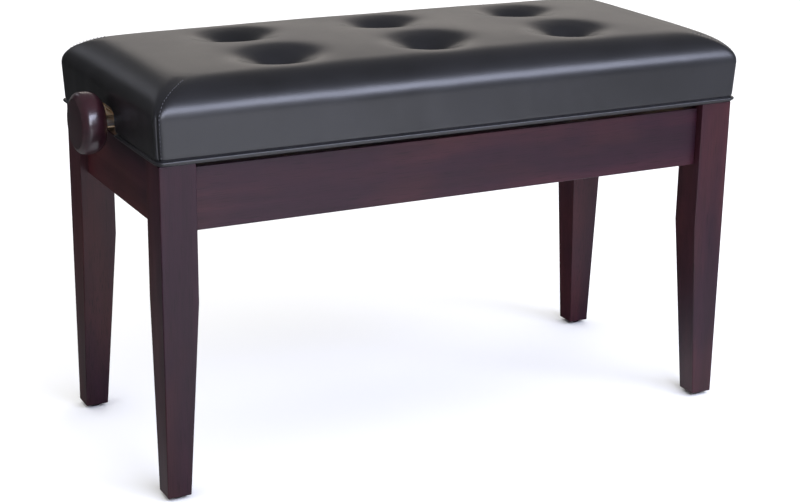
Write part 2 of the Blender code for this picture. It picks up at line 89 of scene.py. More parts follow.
def softbox(name, at, aim, width, height, radiance, colour):
    """Rectangular light of an even radiance, out of the camera's sight."""
    data = bpy.data.lights.new(name, "AREA")
    data.shape = "RECTANGLE"
    data.size, data.size_y = width, height
    data.energy = radiance * math.pi * width * height
    data.color = tone(colour)[:3]
    lamp = bpy.data.objects.new(name, data)
    lamp.location = at
    lamp.rotation_euler = (Vector(aim) - Vector(at)).to_track_quat("-Z", "Y").to_euler()
    lamp.visible_camera = False
    bpy.context.scene.collection.objects.link(lamp)


# ---------------------------------------------------------------- materials

def tone(code):
    """sRGB hex colour to linear RGBA."""
    channels = [int(code[i:i + 2], 16) / 255.0 for i in (1, 3, 5)]
    return tuple(c / 12.92 if c <= 0.04045 else ((c + 0.055) / 1.055) ** 2.4 for c in channels) + (1.0,)


def add(tree, kind, inputs=None, stops=None, **settings):
    """Adds a node with its settings, and gives each input a value or a link. stops are for a colour ramp."""
    made = tree.nodes.new(kind)
    for key, value in settings.items():
        setattr(made, key, value)
    for key, value in (inputs or {}).items():
        if isinstance(value, bpy.types.NodeSocket):
            tree.links.new(value, made.inputs[key])
        else:
            made.inputs[key].default_value = value
    for i, (position, colour) in enumerate(stops or ()):
        ramp = made.color_ramp.elements
        stop = ramp[i] if i < 2 else ramp.new(position)
        stop.position, stop.color = position, colour
    return made


def start_finish(name, **shader_values):
    """A material with a Principled shader whose constants are given here, and its Object coordinates."""
    made = bpy.data.materials.new(name)
    made.use_nodes = True
    tree = made.node_tree
    tree.nodes.clear()
    shader = add(tree, "ShaderNodeBsdfPrincipled",
                 {key.replace("_", " "): value for key, value in shader_values.items()})
    add(tree, "ShaderNodeOutputMaterial", {"Surface": shader.outputs["BSDF"]})
    place = add(tree, "ShaderNodeTexCoord").outputs["Object"]
    return made, tree, shader, place


def black_vinyl(name, grain_mm):
    """Calendered black PVC leathercloth: satin skin with a fine embossed hide grain, a little shinier on the tight
    stretches. The real grain is near 0.5 mm and is drawn coarser so that it shows."""
    made, tree, shader, place = start_finish(name, IOR=1.52, Metallic=0.0, Coat_Weight=0.45, Coat_Roughness=0.3)
    cloud = add(tree, "ShaderNodeTexNoise", {"Vector": place, "Scale": 9.0, "Detail": 4.0, "Roughness": 0.55})
    pebble = add(tree, "ShaderNodeTexVoronoi", {"Vector": place, "Scale": 1000.0 / grain_mm, "Randomness": 0.9},
                 feature="SMOOTH_F1")
    crease = add(tree, "ShaderNodeTexNoise",
                 {"Vector": place, "Scale": 1000.0 / (grain_mm * 4.5), "Detail": 5.0, "Roughness": 0.6})
    colour = add(tree, "ShaderNodeValToRGB", {"Fac": cloud.outputs["Fac"]},
                 stops=((0.3, tone("#121215")), (0.72, tone("#19191d"))))
    tree.links.new(colour.outputs["Color"], shader.inputs["Base Color"])
    gloss = add(tree, "ShaderNodeMapRange", {"Value": cloud.outputs["Fac"], "From Min": 0.3, "From Max": 0.7,
                                             "To Min": 0.33, "To Max": 0.41})
    rough = add(tree, "ShaderNodeMath", {0: pebble.outputs["Distance"], 1: 0.09, 2: gloss.outputs["Result"]},
                operation="MULTIPLY_ADD")
    tree.links.new(rough.outputs["Value"], shader.inputs["Roughness"])
    shape = add(tree, "ShaderNodeMath", {0: crease.outputs["Fac"], 1: 0.8, 2: pebble.outputs["Distance"]},
                operation="MULTIPLY_ADD")
    relief = add(tree, "ShaderNodeBump", {"Height": shape.outputs["Value"], "Strength": 0.22,
                                          "Distance": mm(0.25)})
    tree.links.new(relief.outputs["Normal"], shader.inputs["Normal"])
    return made


def stained_wood(name, turn):
    """Straight-grained hardwood under a dark rosewood stain and satin lacquer: purple-brown ground, redder streaks
    where the stain took less, open pores as short dark dashes. The grain runs along local X after the turn."""
    made, tree, shader, place = start_finish(name, IOR=1.5, Metallic=0.0, Specular_IOR_Level=0.32, Coat_Weight=0.07,
                                             Coat_Roughness=0.2, Coat_IOR=1.5)
    turned = add(tree, "ShaderNodeMapping", {"Vector": place, "Rotation": turn})
    stretched = add(tree, "ShaderNodeMapping", {"Vector": turned.outputs["Vector"], "Scale": (1.6, 34.0, 34.0)})
    figure = add(tree, "ShaderNodeTexNoise", {"Vector": stretched.outputs["Vector"], "Scale": 1.0, "Detail": 7.0,
                                              "Roughness": 0.62, "Distortion": 0.35})
    wide = add(tree, "ShaderNodeMapping", {"Vector": turned.outputs["Vector"], "Scale": (3.5, 11.0, 11.0)})
    patch = add(tree, "ShaderNodeTexNoise", {"Vector": wide.outputs["Vector"], "Scale": 1.0, "Detail": 3.0})
    dashes = add(tree, "ShaderNodeMapping", {"Vector": turned.outputs["Vector"], "Scale": (32.0, 1100.0, 1100.0)})
    pores = add(tree, "ShaderNodeTexNoise", {"Vector": dashes.outputs["Vector"], "Scale": 1.0, "Detail": 2.0,
                                             "Roughness": 0.5})
    ground = add(tree, "ShaderNodeValToRGB", {"Fac": figure.outputs["Fac"]},
                 stops=((0.28, tone("#1a0a13")), (0.5, tone("#2a111e")), (0.74, tone("#421d26"))))
    streak = add(tree, "ShaderNodeValToRGB", {"Fac": patch.outputs["Fac"]},
                 stops=((0.42, tone("#26111e")), (0.66, tone("#522621"))))
    mixed = add(tree, "ShaderNodeMixRGB", {"Fac": 0.4, "Color1": ground.outputs["Color"],
                                           "Color2": streak.outputs["Color"]})
    pitted = add(tree, "ShaderNodeValToRGB", {"Fac": pores.outputs["Fac"]},
                 stops=((0.3, tone("#b8b8b8")), (0.46, tone("#ffffff"))))
    dark = add(tree, "ShaderNodeMixRGB", {"Fac": 1.0, "Color1": mixed.outputs["Color"],
                                          "Color2": pitted.outputs["Color"]}, blend_type="MULTIPLY")
    tree.links.new(dark.outputs["Color"], shader.inputs["Base Color"])
    gloss = add(tree, "ShaderNodeMapRange", {"Value": figure.outputs["Fac"], "From Min": 0.3, "From Max": 0.7,
                                             "To Min": 0.46, "To Max": 0.34})
    tree.links.new(gloss.outputs["Result"], shader.inputs["Roughness"])
    relief = add(tree, "ShaderNodeBump", {"Height": pores.outputs["Fac"], "Strength": 0.12, "Distance": mm(0.2)})
    tree.links.new(relief.outputs["Normal"], shader.inputs["Normal"])
    return made


def knob_lacquer():
    """Turned beech under dark red gloss lacquer: deep wine colour that shows the grain faintly, sharp soft-edged
    reflections, hair-fine handling marks."""
    made, tree, shader, place = start_finish("gloss_wine_lacquer", IOR=1.5, Metallic=0.0, Roughness=0.34,
                                             Coat_Weight=1.0, Coat_Roughness=0.2, Coat_IOR=1.5)
    stretched = add(tree, "ShaderNodeMapping", {"Vector": place, "Scale": (60.0, 8.0, 60.0)})
    figure = add(tree, "ShaderNodeTexNoise", {"Vector": stretched.outputs["Vector"], "Scale": 1.0, "Detail": 6.0,
                                              "Roughness": 0.6})
    colour = add(tree, "ShaderNodeValToRGB", {"Fac": figure.outputs["Fac"]},
                 stops=((0.3, tone("#1d0c13")), (0.7, tone("#32161f"))))
    tree.links.new(colour.outputs["Color"], shader.inputs["Base Color"])
    marks = add(tree, "ShaderNodeTexNoise", {"Vector": place, "Scale": 160.0, "Detail": 4.0})
    relief = add(tree, "ShaderNodeBump", {"Height": marks.outputs["Fac"], "Strength": 0.05, "Distance": mm(0.2)})
    tree.links.new(relief.outputs["Normal"], shader.inputs["Coat Normal"])
    return made


def raw_softwood(name, turn, pale, ring, ply_mm=0.0):
    """Sawn pine, or ply where a ply thickness is given: pale straw with darker growth rings, dry and slightly
    fuzzy. Plies show as alternate light and dark layers through the thickness; the colours are given by the caller."""
    made, tree, shader, place = start_finish(name, IOR=1.5, Metallic=0.0)
    turned = add(tree, "ShaderNodeMapping", {"Vector": place, "Rotation": turn})
    long_grain = add(tree, "ShaderNodeMapping", {"Vector": turned.outputs["Vector"], "Scale": (0.06, 1.0, 1.0)})
    rings = add(tree, "ShaderNodeTexWave", {"Vector": long_grain.outputs["Vector"], "Scale": 48.0, "Distortion": 5.0,
                                            "Detail": 3.0, "Detail Scale": 1.4},
                wave_type="BANDS", bands_direction="DIAGONAL")
    fibre = add(tree, "ShaderNodeMapping", {"Vector": turned.outputs["Vector"], "Scale": (20.0, 800.0, 800.0)})
    fuzz = add(tree, "ShaderNodeTexNoise", {"Vector": fibre.outputs["Vector"], "Scale": 1.0, "Detail": 3.0})
    colour = add(tree, "ShaderNodeValToRGB", {"Fac": rings.outputs["Fac"]},
                 stops=((0.15, tone(pale)), (0.9, tone(ring))))
    toned = add(tree, "ShaderNodeValToRGB", {"Fac": fuzz.outputs["Fac"]},
                stops=((0.3, tone("#d2c8bc")), (0.7, tone("#ffffff"))))
    mixed = add(tree, "ShaderNodeMixRGB", {"Fac": 1.0, "Color1": colour.outputs["Color"],
                                           "Color2": toned.outputs["Color"]}, blend_type="MULTIPLY")
    result = mixed.outputs["Color"]
    if ply_mm:
        layers = add(tree, "ShaderNodeTexWave", {"Vector": place, "Scale": 1000.0 / (ply_mm * 2.0) / 20.0 * math.pi,
                                                 "Distortion": 0.0, "Detail": 0.0},
                     wave_type="BANDS", bands_direction="Z")
        glue = add(tree, "ShaderNodeValToRGB", {"Fac": layers.outputs["Fac"]},
                   stops=((0.42, tone("#9c7a58")), (0.58, tone("#ffffff"))))
        result = add(tree, "ShaderNodeMixRGB", {"Fac": 0.8, "Color1": result, "Color2": glue.outputs["Color"]},
                     blend_type="MULTIPLY").outputs["Color"]
    tree.links.new(result, shader.inputs["Base Color"])
    rough = add(tree, "ShaderNodeMapRange", {"Value": fuzz.outputs["Fac"], "To Min": 0.6, "To Max": 0.82})
    tree.links.new(rough.outputs["Result"], shader.inputs["Roughness"])
    relief = add(tree, "ShaderNodeBump", {"Height": fuzz.outputs["Fac"], "Strength": 0.3, "Distance": mm(0.25)})
    tree.links.new(relief.outputs["Normal"], shader.inputs["Normal"])
    return made


def zinc_steel(name, turn):
    """Mild steel with bright zinc plating: cool grey metal with fine drawing lines and cloudy patches."""
    made, tree, shader, place = start_finish(name, Metallic=1.0)
    drawn = add(tree, "ShaderNodeMapping", {"Vector": place, "Rotation": turn, "Scale": (12.0, 900.0, 900.0)})
    lines = add(tree, "ShaderNodeTexNoise", {"Vector": drawn.outputs["Vector"], "Scale": 1.0, "Detail": 3.0})
    cloud = add(tree, "ShaderNodeTexNoise", {"Vector": place, "Scale": 38.0, "Detail": 5.0, "Roughness": 0.6})
    colour = add(tree, "ShaderNodeValToRGB", {"Fac": cloud.outputs["Fac"]},
                 stops=((0.3, tone("#9fa2a6")), (0.7, tone("#c8cacd"))))
    tree.links.new(colour.outputs["Color"], shader.inputs["Base Color"])
    gloss = add(tree, "ShaderNodeMapRange", {"Value": cloud.outputs["Fac"], "From Min": 0.3, "From Max": 0.7,
                                             "To Min": 0.26, "To Max": 0.42})
    tree.links.new(gloss.outputs["Result"], shader.inputs["Roughness"])
    relief = add(tree, "ShaderNodeBump", {"Height": lines.outputs["Fac"], "Strength": 0.15, "Distance": mm(0.1)})
    tree.links.new(relief.outputs["Normal"], shader.inputs["Normal"])
    return made


def black_enamel():
    """Powder-coated steel casting: satin black with a faint orange-peel, grey where handling has rubbed it."""
    made, tree, shader, place = start_finish("black_powder_coat", IOR=1.5, Metallic=0.0)
    peel = add(tree, "ShaderNodeTexNoise", {"Vector": place, "Scale": 420.0, "Detail": 2.0})
    rub = add(tree, "ShaderNodeTexNoise", {"Vector": place, "Scale": 45.0, "Detail": 5.0})
    colour = add(tree, "ShaderNodeValToRGB", {"Fac": rub.outputs["Fac"]},
                 stops=((0.35, tone("#141416")), (0.8, tone("#2b2b2e"))))
    tree.links.new(colour.outputs["Color"], shader.inputs["Base Color"])
    gloss = add(tree, "ShaderNodeMapRange", {"Value": rub.outputs["Fac"], "To Min": 0.36, "To Max": 0.5})
    tree.links.new(gloss.outputs["Result"], shader.inputs["Roughness"])
    relief = add(tree, "ShaderNodeBump", {"Height": peel.outputs["Fac"], "Strength": 0.2, "Distance": mm(0.15)})
    tree.links.new(relief.outputs["Normal"], shader.inputs["Normal"])
    return made


def moulded_nylon():
    """Injection-moulded black nylon: matt, finely spark-eroded skin, scuffed paler underneath."""
    made, tree, shader, place = start_finish("moulded_black_nylon", IOR=1.53, Metallic=0.0)
    skin = add(tree, "ShaderNodeTexNoise", {"Vector": place, "Scale": 1400.0, "Detail": 2.0})
    scuff = add(tree, "ShaderNodeTexNoise", {"Vector": place, "Scale": 130.0, "Detail": 4.0})
    colour = add(tree, "ShaderNodeValToRGB", {"Fac": scuff.outputs["Fac"]},
                 stops=((0.4, tone("#161617")), (0.75, tone("#333334"))))
    tree.links.new(colour.outputs["Color"], shader.inputs["Base Color"])
    gloss = add(tree, "ShaderNodeMapRange", {"Value": skin.outputs["Fac"], "To Min": 0.5, "To Max": 0.66})
    tree.links.new(gloss.outputs["Result"], shader.inputs["Roughness"])
    relief = add(tree, "ShaderNodeBump", {"Height": skin.outputs["Fac"], "Strength": 0.2, "Distance": mm(0.08)})
    tree.links.new(relief.outputs["Normal"], shader.inputs["Normal"])
    return made


def thread_with_painted_highlight():
    """Bonded polyester sewing thread with the twist of its plies, drawn a shade lighter than the cover: the lighter
    grey is a painted highlight on black thread.
    """
    made, tree, shader, place = start_finish("thread_with_painted_highlight", IOR=1.5, Metallic=0.0, Sheen_Weight=0.2)
    twist = add(tree, "ShaderNodeTexWave", {"Vector": place, "Scale": 260.0, "Distortion": 2.0},
                wave_type="BANDS", bands_direction="DIAGONAL")
    # painted highlight: grey stops stand in for the sheen of black thread
    colour = add(tree, "ShaderNodeValToRGB", {"Fac": twist.outputs["Fac"]},
                 stops=((0.2, tone("#323239")), (0.8, tone("#5e5f69"))))
    tree.links.new(colour.outputs["Color"], shader.inputs["Base Color"])
    gloss = add(tree, "ShaderNodeMapRange", {"Value": twist.outputs["Fac"], "To Min": 0.45, "To Max": 0.6})
    tree.links.new(gloss.outputs["Result"], shader.inputs["Roughness"])
    relief = add(tree, "ShaderNodeBump", {"Height": twist.outputs["Fac"], "Strength": 0.3, "Distance": mm(0.1)})
    tree.links.new(relief.outputs["Normal"], shader.inputs["Normal"])
    return made


def painted_floor():
    """Matt white studio floor with the slight unevenness of rolled paint."""
    made, tree, shader, place = start_finish("matt_white_floor", IOR=1.45, Metallic=0.0, Roughness=0.85)
    cloud = add(tree, "ShaderNodeTexNoise", {"Vector": place, "Scale": 0.8, "Detail": 3.0})
    colour = add(tree, "ShaderNodeValToRGB", {"Fac": cloud.outputs["Fac"]},
                 stops=((0.3, tone("#f4f4f4")), (0.7, tone("#f8f8f8"))))
    tree.links.new(colour.outputs["Color"], shader.inputs["Base Color"])
    return made


ALONG_X, ALONG_Y, ALONG_Z = (0.0, 0.0, 0.0), (0.0, 0.0, math.pi / 2.0), (0.0, math.pi / 2.0, 0.0)
COVER_VINYL = black_vinyl("black_grained_vinyl", 1.1)
PIPING_VINYL = black_vinyl("black_piping_vinyl", 0.9)
WOOD = {"x": stained_wood("rosewood_stain_rail", ALONG_X), "y": stained_wood("rosewood_stain_end_rail", ALONG_Y),
        "z": stained_wood("rosewood_stain_leg", ALONG_Z)}
PINE = {"x": raw_softwood("raw_pine_long", ALONG_X, "#ead7b9", "#cba67b"),
        "y": raw_softwood("raw_pine_cross", ALONG_Y, "#ead7b9", "#cba67b")}
# painted shade: the seat board's ply is drawn dark so that the inside of the seat reads as shade between the piping and
# the aprons
PLY = raw_softwood("ply_darkened_as_shade", ALONG_X, "#4a3d33", "#34291f", ply_mm=1.8)
STEEL = {"x": zinc_steel("zinc_plated_steel", ALONG_X), "y": zinc_steel("zinc_plated_bar", ALONG_Y)}
LACQUER = knob_lacquer()
ENAMEL = black_enamel()
NYLON = moulded_nylon()
THREAD = thread_with_painted_highlight()


# ---------------------------------------------------------------- mesh helpers

def piece_from(name, points, faces, material, smooth=True):
    """Mesh object from points in millimetres."""
    data = bpy.data.meshes.new(name)
    data.from_pydata([tuple(mm(c) for c in p) for p in points], [], faces)
    data.materials.append(material)
    if smooth:
        data.shade_smooth()
    made = bpy.data.objects.new(name, data)
    bpy.context.scene.collection.objects.link(made)
    return made


def face_outward(piece):
    shape = bmesh.new()
    shape.from_mesh(piece.data)
    bmesh.ops.remove_doubles(shape, verts=shape.verts, dist=1e-6)
    bmesh.ops.recalc_face_normals(shape, faces=shape.faces)
    shape.to_mesh(piece.data)
    shape.free()


def even_shading(piece):
    """Keeps flat faces flat beside their rounded edges."""
    even = piece.modifiers.new("even_shading", "WEIGHTED_NORMAL")
    even.keep_sharp = True


def dressed(node, name, body, material, round_mm, segments=3):
    """Copy of a CAD node with its arrises eased to the given radius."""
    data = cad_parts[node].data.copy()
    data.name = name
    data.materials.clear()
    data.materials.append(material)
    shape = bmesh.new()
    shape.from_mesh(data)
    bmesh.ops.remove_doubles(shape, verts=shape.verts, dist=2e-6)
    bmesh.ops.dissolve_limit(shape, angle_limit=math.radians(0.6), verts=shape.verts, edges=shape.edges)
    arrises = [e for e in shape.edges if len(e.link_faces) == 2 and e.calc_face_angle() > math.radians(28)]
    bmesh.ops.bevel(shape, geom=arrises, offset=mm(round_mm), offset_type="OFFSET", segments=segments,
                    profile=0.5, affect="EDGES", clamp_overlap=True)
    shape.to_mesh(data)
    shape.free()
    data.shade_smooth()
    data.set_sharp_from_angle(angle=math.radians(50))
    made = bpy.data.objects.new(name, data)
    bpy.context.scene.collection.objects.link(made)
    even_shading(made)
    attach(made, body)
    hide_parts(node)
    return made


def turned(name, profile, centre, axis, material, count=48):
    """Solid of revolution: profile is (along, radius) pairs in millimetres, first and last on the axis."""
    points, rings = [], []
    for along, radius in profile:
        if radius < 1e-6:
            rings.append([len(points)])
            points.append((along, 0.0, 0.0))
        else:
            rings.append(list(range(len(points), len(points) + count)))
            for i in range(count):
                a = 2.0 * math.pi * i / count
                points.append((along, radius * math.cos(a), radius * math.sin(a)))
    faces = []
    for low, high in zip(rings, rings[1:]):
        for i in range(count):
            j = (i + 1) % count
            quad = [low[i % len(low)], low[j % len(low)], high[j % len(high)], high[i % len(high)]]
            faces.append(list(dict.fromkeys(quad)))
    way = {"x": Matrix.Identity(3), "y": Matrix(((0, -1, 0), (1, 0, 0), (0, 0, 1))),
           "z": Matrix(((0, 0, -1), (0, 1, 0), (1, 0, 0)))}[axis]
    placed = [way @ Vector(p) + Vector(centre) for p in points]
    made = piece_from(name, placed, faces, material)
    face_outward(made)
    return made


# ---------------------------------------------------------------- seat cover

BAND_LOW, BAND_HIGH = sizes("cover_band")
CUSHION_LOW, CUSHION_HIGH = sizes("cushion")
BUTTONS = {(f, e): sizes("button_%s_%s" % (f, e)) for f in ("front", "rear") for e in ("left", "middle", "right")}
SEAT_HALF_X, SEAT_HALF_Y = BAND_HIGH.x, BAND_HIGH.y      # at the shoulder, where the sides are widest
FLARE = 2.0                  # the sides draw in by this towards the welt
CORNER = 9.0                 # plan radius of the sides at the corners
COVER_THICK = 6.4            # vinyl over its foam wrap
SHOULDER_Z = BAND_HIGH.z
HEM_Z = BAND_LOW.z
ROLL_WIDTH, ROLL_HEIGHT = 50.0, 33.0
CROWN = CUSHION_HIGH.z - SHOULDER_Z - ROLL_HEIGHT
BOWL_LONG, BOWL_SHORT = 38.0, 29.0    # spread of each tuft bowl along and across the seat
BUTTON_SINK = 0.6            # how far the surface laps the edge of a button
ROLL_STEPS = 11
FIELD_STEP = 5.0
OPENING_HALF, OPENING_TOP, OPENING_CORNER = 28.0, 420.0, 9.0
OPENING_REACH = 70.0         # how far along the end the columns lean towards the opening
SEAM_REACH = 37.0            # how far over the roll each corner seam runs
ARC_SHARE = 0.785            # length round a corner for each millimetre of offset, an eighth of a turn


def edge_distances(half_short, half_long):
    """Distances in from the edge of the cover's grid lines: close on the roll, then even."""
    roll = [ROLL_WIDTH * (1.0 - math.cos(0.5 * math.pi * i / ROLL_STEPS)) for i in range(ROLL_STEPS + 1)]
    across = int(round((half_short - ROLL_WIDTH) / FIELD_STEP))
    short = roll + [ROLL_WIDTH + FIELD_STEP * (i + 1) for i in range(across)]
    count = int(round((half_long - half_short) / FIELD_STEP))
    return short, short + [half_short + (half_long - half_short) * (i + 1) / count for i in range(count)]


def plan_point(half_x, half_y, radius, along, offset):
    """Point on a rounded rectangle's corner quarter, offset along a side from where its corner would be."""
    if offset < radius:
        turn = math.radians(45.0 + (45.0 if along == "x" else -45.0) * offset / radius)
        return half_x - radius + radius * math.cos(turn), half_y - radius + radius * math.sin(turn)
    return (half_x - offset, half_y) if along == "x" else (half_x, half_y - offset)


def open_height(x, y, inset):
    """Height of the padded top before it is buttoned down."""
    rise = 1.0 if inset >= ROLL_WIDTH else math.sqrt(max(0.0, 1.0 - (1.0 - inset / ROLL_WIDTH) ** 2))
    swell = (1.0 - abs(x / SEAT_HALF_X) ** 2.6) * (1.0 - abs(y / SEAT_HALF_Y) ** 2.0)
    return SHOULDER_Z + ROLL_HEIGHT * rise + CROWN * max(0.0, swell)


def bowl(x, y):
    """How far the buttons pull the top down here: each bowl ends at its own button."""
    deep = 0.0
    for low, high in BUTTONS.values():
        cx, cy = (low.x + high.x) / 2.0, (low.y + high.y) / 2.0
        full = open_height(cx, cy, ROLL_WIDTH) - low.z - BUTTON_SINK
        wide = math.hypot((x - cx) / BOWL_LONG, (y - cy) / BOWL_SHORT)
        near = math.hypot(x - cx, y - cy)
        reach = max(0.0, min(1.0, (88.0 - near) / 45.0))
        deep += full * (0.74 * math.exp(-wide ** 1.75) + 0.26 * math.exp(-(near / 13.0) ** 1.6)) * reach ** 1.5
    return deep


def top_height(x, y, inset):
    return open_height(x, y, inset) - bowl(x, y)


def corner_round(inset):
    if inset <= ROLL_WIDTH:
        return CORNER + 0.4 * inset
    return (CORNER + 0.4 * ROLL_WIDTH) * max(0.0, 1.0 - (inset - ROLL_WIDTH) / 60.0)


def opening_path(y):
    """Where a column of the end wall that is y from the middle meets the hem or the screw opening: (y, z)."""
    flat, turn_end, leg_end = 20.0, 35.0, 45.0
    corner_y = OPENING_HALF - OPENING_CORNER
    if y <= flat:
        return corner_y * y / flat, OPENING_TOP
    if y <= turn_end:
        a = math.radians(90.0 - 90.0 * (y - flat) / (turn_end - flat))
        return (corner_y + OPENING_CORNER * math.cos(a), OPENING_TOP - OPENING_CORNER + OPENING_CORNER * math.sin(a))
    if y <= leg_end:
        share = (y - turn_end) / (leg_end - turn_end)
        return OPENING_HALF, OPENING_TOP - OPENING_CORNER + (HEM_Z - OPENING_TOP + OPENING_CORNER) * share
    share = (y - leg_end) / (OPENING_REACH - leg_end)
    return OPENING_HALF + (OPENING_REACH - OPENING_HALF) * share, HEM_Z


def side_point(along, offset, share, inset):
    """Point of the cover's upright wall: share runs from 0 at the hem to 1 at the shoulder."""
    z = HEM_Z + (SHOULDER_Z - HEM_Z) * share
    y_middle = SEAT_HALF_Y - offset
    if along == "y" and y_middle < OPENING_REACH:
        low_y, low_z = opening_path(y_middle)
        z = low_z + (SHOULDER_Z - low_z) * share
        draw = FLARE * (SHOULDER_Z - z) / (SHOULDER_Z - HEM_Z)
        return SEAT_HALF_X - draw - inset, low_y + (y_middle - low_y) * share, z
    draw = FLARE * (1.0 - share) + inset
    if offset <= CORNER:
        x, y = plan_point(SEAT_HALF_X - draw, SEAT_HALF_Y - draw, CORNER - inset, along, offset)
    elif along == "x":
        x, y = SEAT_HALF_X - offset, SEAT_HALF_Y - draw
    else:
        x, y = SEAT_HALF_X - draw, SEAT_HALF_Y - offset
    return x, y, z


SEAM_DEPTH, SEAM_HALF = 2.3, 0.95     # the sunk line of a corner seam
LIP_HEIGHT, LIP_AWAY, LIP_HALF = 0.1, 3.4, 1.6
SEAM_ZONE = 8.0              # offset from the corner past which a seam no longer shows
SEAM_RUN_OUT = 6.0           # how far past its reach a seam fades


def seam_dip(away):
    """Depth of the stitched corner seam across its line, with the puckered lips beside it."""
    line = SEAM_DEPTH * math.exp(-(away / SEAM_HALF) ** 2)
    return line - LIP_HEIGHT * math.exp(-((away - LIP_AWAY) / LIP_HALF) ** 2)


def make_seat_cover():
    short, long_ = edge_distances(SEAT_HALF_Y, SEAT_HALF_X)
    xs = [(-1, d) for d in long_] + [(1, d) for d in reversed(long_[:-1])]
    ys = [(-1, d) for d in short] + [(1, d) for d in reversed(short[:-1])]
    nx, ny = len(xs), len(ys)
    points, where = [], {}
    for i, (sx, dx) in enumerate(xs):
        for j, (sy, dy) in enumerate(ys):
            inset = min(dx, dy)
            along, offset = ("x", dx - inset) if dy <= dx else ("y", dy - inset)
            x, y = plan_point(SEAT_HALF_X - inset, SEAT_HALF_Y - inset, corner_round(inset), along, offset)
            z = top_height(x, y, inset)
            if offset < SEAM_ZONE and inset < SEAM_REACH + SEAM_RUN_OUT:
                fade = max(0.0, min(1.0, (SEAM_REACH + SEAM_RUN_OUT - inset) / 14.0))
                dip = seam_dip(offset * ARC_SHARE) * fade
                out = Vector((1.0, 1.0, 1.6 * math.tan(0.5 * math.pi * min(0.95, inset / ROLL_WIDTH)))).normalized()
                x, y, z = x - out.x * dip, y - out.y * dip, z - out.z * dip
            where[i, j] = len(points)
            points.append((sx * x, sy * y, z))
    faces = [(where[i, j], where[i + 1, j], where[i + 1, j + 1], where[i, j + 1])
             for i in range(nx - 1) for j in range(ny - 1)]
    rim = [(i, 0) for i in range(nx)] + [(nx - 1, j) for j in range(1, ny)] + \
          [(i, ny - 1) for i in range(nx - 2, -1, -1)] + [(0, j) for j in range(ny - 2, 0, -1)]
    levels = [(0.9, 0.0), (0.78, 0.0), (0.62, 0.0), (0.45, 0.0), (0.28, 0.0), (0.14, 0.0), (0.06, 0.0), (0.02, 0.35),
              (0.0, 1.6), (0.0, 3.2), (0.0, 5.0), (0.03, COVER_THICK), (0.15, COVER_THICK), (0.5, COVER_THICK),
              (0.9, COVER_THICK), (0.995, COVER_THICK)]
    previous = [where[k] for k in rim]
    for share, inset in levels:
        ring = []
        for i, j in rim:
            (sx, dx), (sy, dy) = xs[i], ys[j]
            along, offset = ("x", dx) if dy <= dx else ("y", dy)
            x, y, z = side_point(along, offset, share, inset)
            if offset < SEAM_ZONE and inset < 1.0:
                dip = seam_dip(offset * ARC_SHARE) / math.sqrt(2.0)
                x, y = x - dip, y - dip
            ring.append(len(points))
            points.append((sx * x, sy * y, z))
        count = len(ring)
        faces += [(ring[k], ring[(k + 1) % count], previous[(k + 1) % count], previous[k]) for k in range(count)]
        previous = ring
    under = dict(zip(rim, previous))
    for i, (sx, dx) in enumerate(xs):
        for j, (sy, dy) in enumerate(ys):
            if (i, j) not in under:
                x, y, z = points[where[i, j]]
                under[i, j] = len(points)
                points.append((x * (1.0 - COVER_THICK / SEAT_HALF_X), y * (1.0 - COVER_THICK / SEAT_HALF_Y),
                               CUSHION_LOW.z))
    faces += [(under[i, j], under[i, j + 1], under[i + 1, j + 1], under[i + 1, j])
              for i in range(nx - 1) for j in range(ny - 1)]
    ripple(points)
    made = piece_from("seat_cover", points, faces, COVER_VINYL)
    face_outward(made)
    smooth = made.modifiers.new("smooth", "SUBSURF")
    smooth.levels = smooth.render_levels = 1
    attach(made, "seat")
    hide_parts("cushion", "cover_band")
    return made


SLOW_SWELL, UPRIGHT_PULL = 0.35, 0.45


def ripple(points):
    """Hand-stretched unevenness of the cover: slow swells on top, upright pulls on the walls."""
    for k, (x, y, z) in enumerate(points):
        if z < HEM_Z + 3.0 or abs(x) < SEAT_HALF_X - 5.0 and abs(y) < SEAT_HALF_Y - 5.0 and z < SHOULDER_Z + 1.0:
            continue
        upright = max(0.0, min(1.0, (SHOULDER_Z + 18.0 - z) / 22.0))
        slow = noise.noise(Vector((x * 0.016, y * 0.016, z * 0.01 + 3.0)))
        pulls = noise.noise(Vector((x * 0.045, y * 0.045, z * 0.012 + 9.0)))
        amount = SLOW_SWELL * slow * (1.0 - upright) + (SLOW_SWELL * slow + UPRIGHT_PULL * pulls) * upright
        side_x = max(0.0, abs(x) - (SEAT_HALF_X - ROLL_WIDTH)) / ROLL_WIDTH
        side_y = max(0.0, abs(y) - (SEAT_HALF_Y - ROLL_WIDTH)) / ROLL_WIDTH
        out = Vector((math.copysign(side_x ** 3, x), math.copysign(side_y ** 3, y), 1.0 - upright))
        if out.length > 1e-4:
            out.normalize()
            points[k] = (x + out.x * amount, y + out.y * amount, z + out.z * amount)


# ---------------------------------------------------------------- assembly

def make_frame_wood():
    for f in ("front", "rear"):
        for e in ("left", "right"):
            dressed("leg_%s_%s" % (f, e), "tapered_leg_%s_%s" % (f, e), "base", WOOD["z"], 1.3, 4)
            dressed("corner_block_%s_%s" % (f, e), "glue_block_%s_%s" % (f, e), "base", PINE["x"], 0.8)
        dressed("apron_" + f, "long_apron_" + f, "base", WOOD["x"], 1.2, 4)
    for e in ("left", "right"):
        dressed("apron_" + e, "end_apron_" + e, "base", WOOD["y"], 1.2, 4)


def make_seat_wood():
    for f in ("front", "rear"):
        dressed("seat_rail_" + f, "seat_frame_rail_" + f, "seat", PINE["x"], 0.8)
    for e in ("left", "right"):
        dressed("seat_rail_" + e, "seat_frame_rail_" + e, "seat", PINE["y"], 0.8)
    dressed("seat_board", "seat_ply_board", "seat", PLY, 0.6, 2)


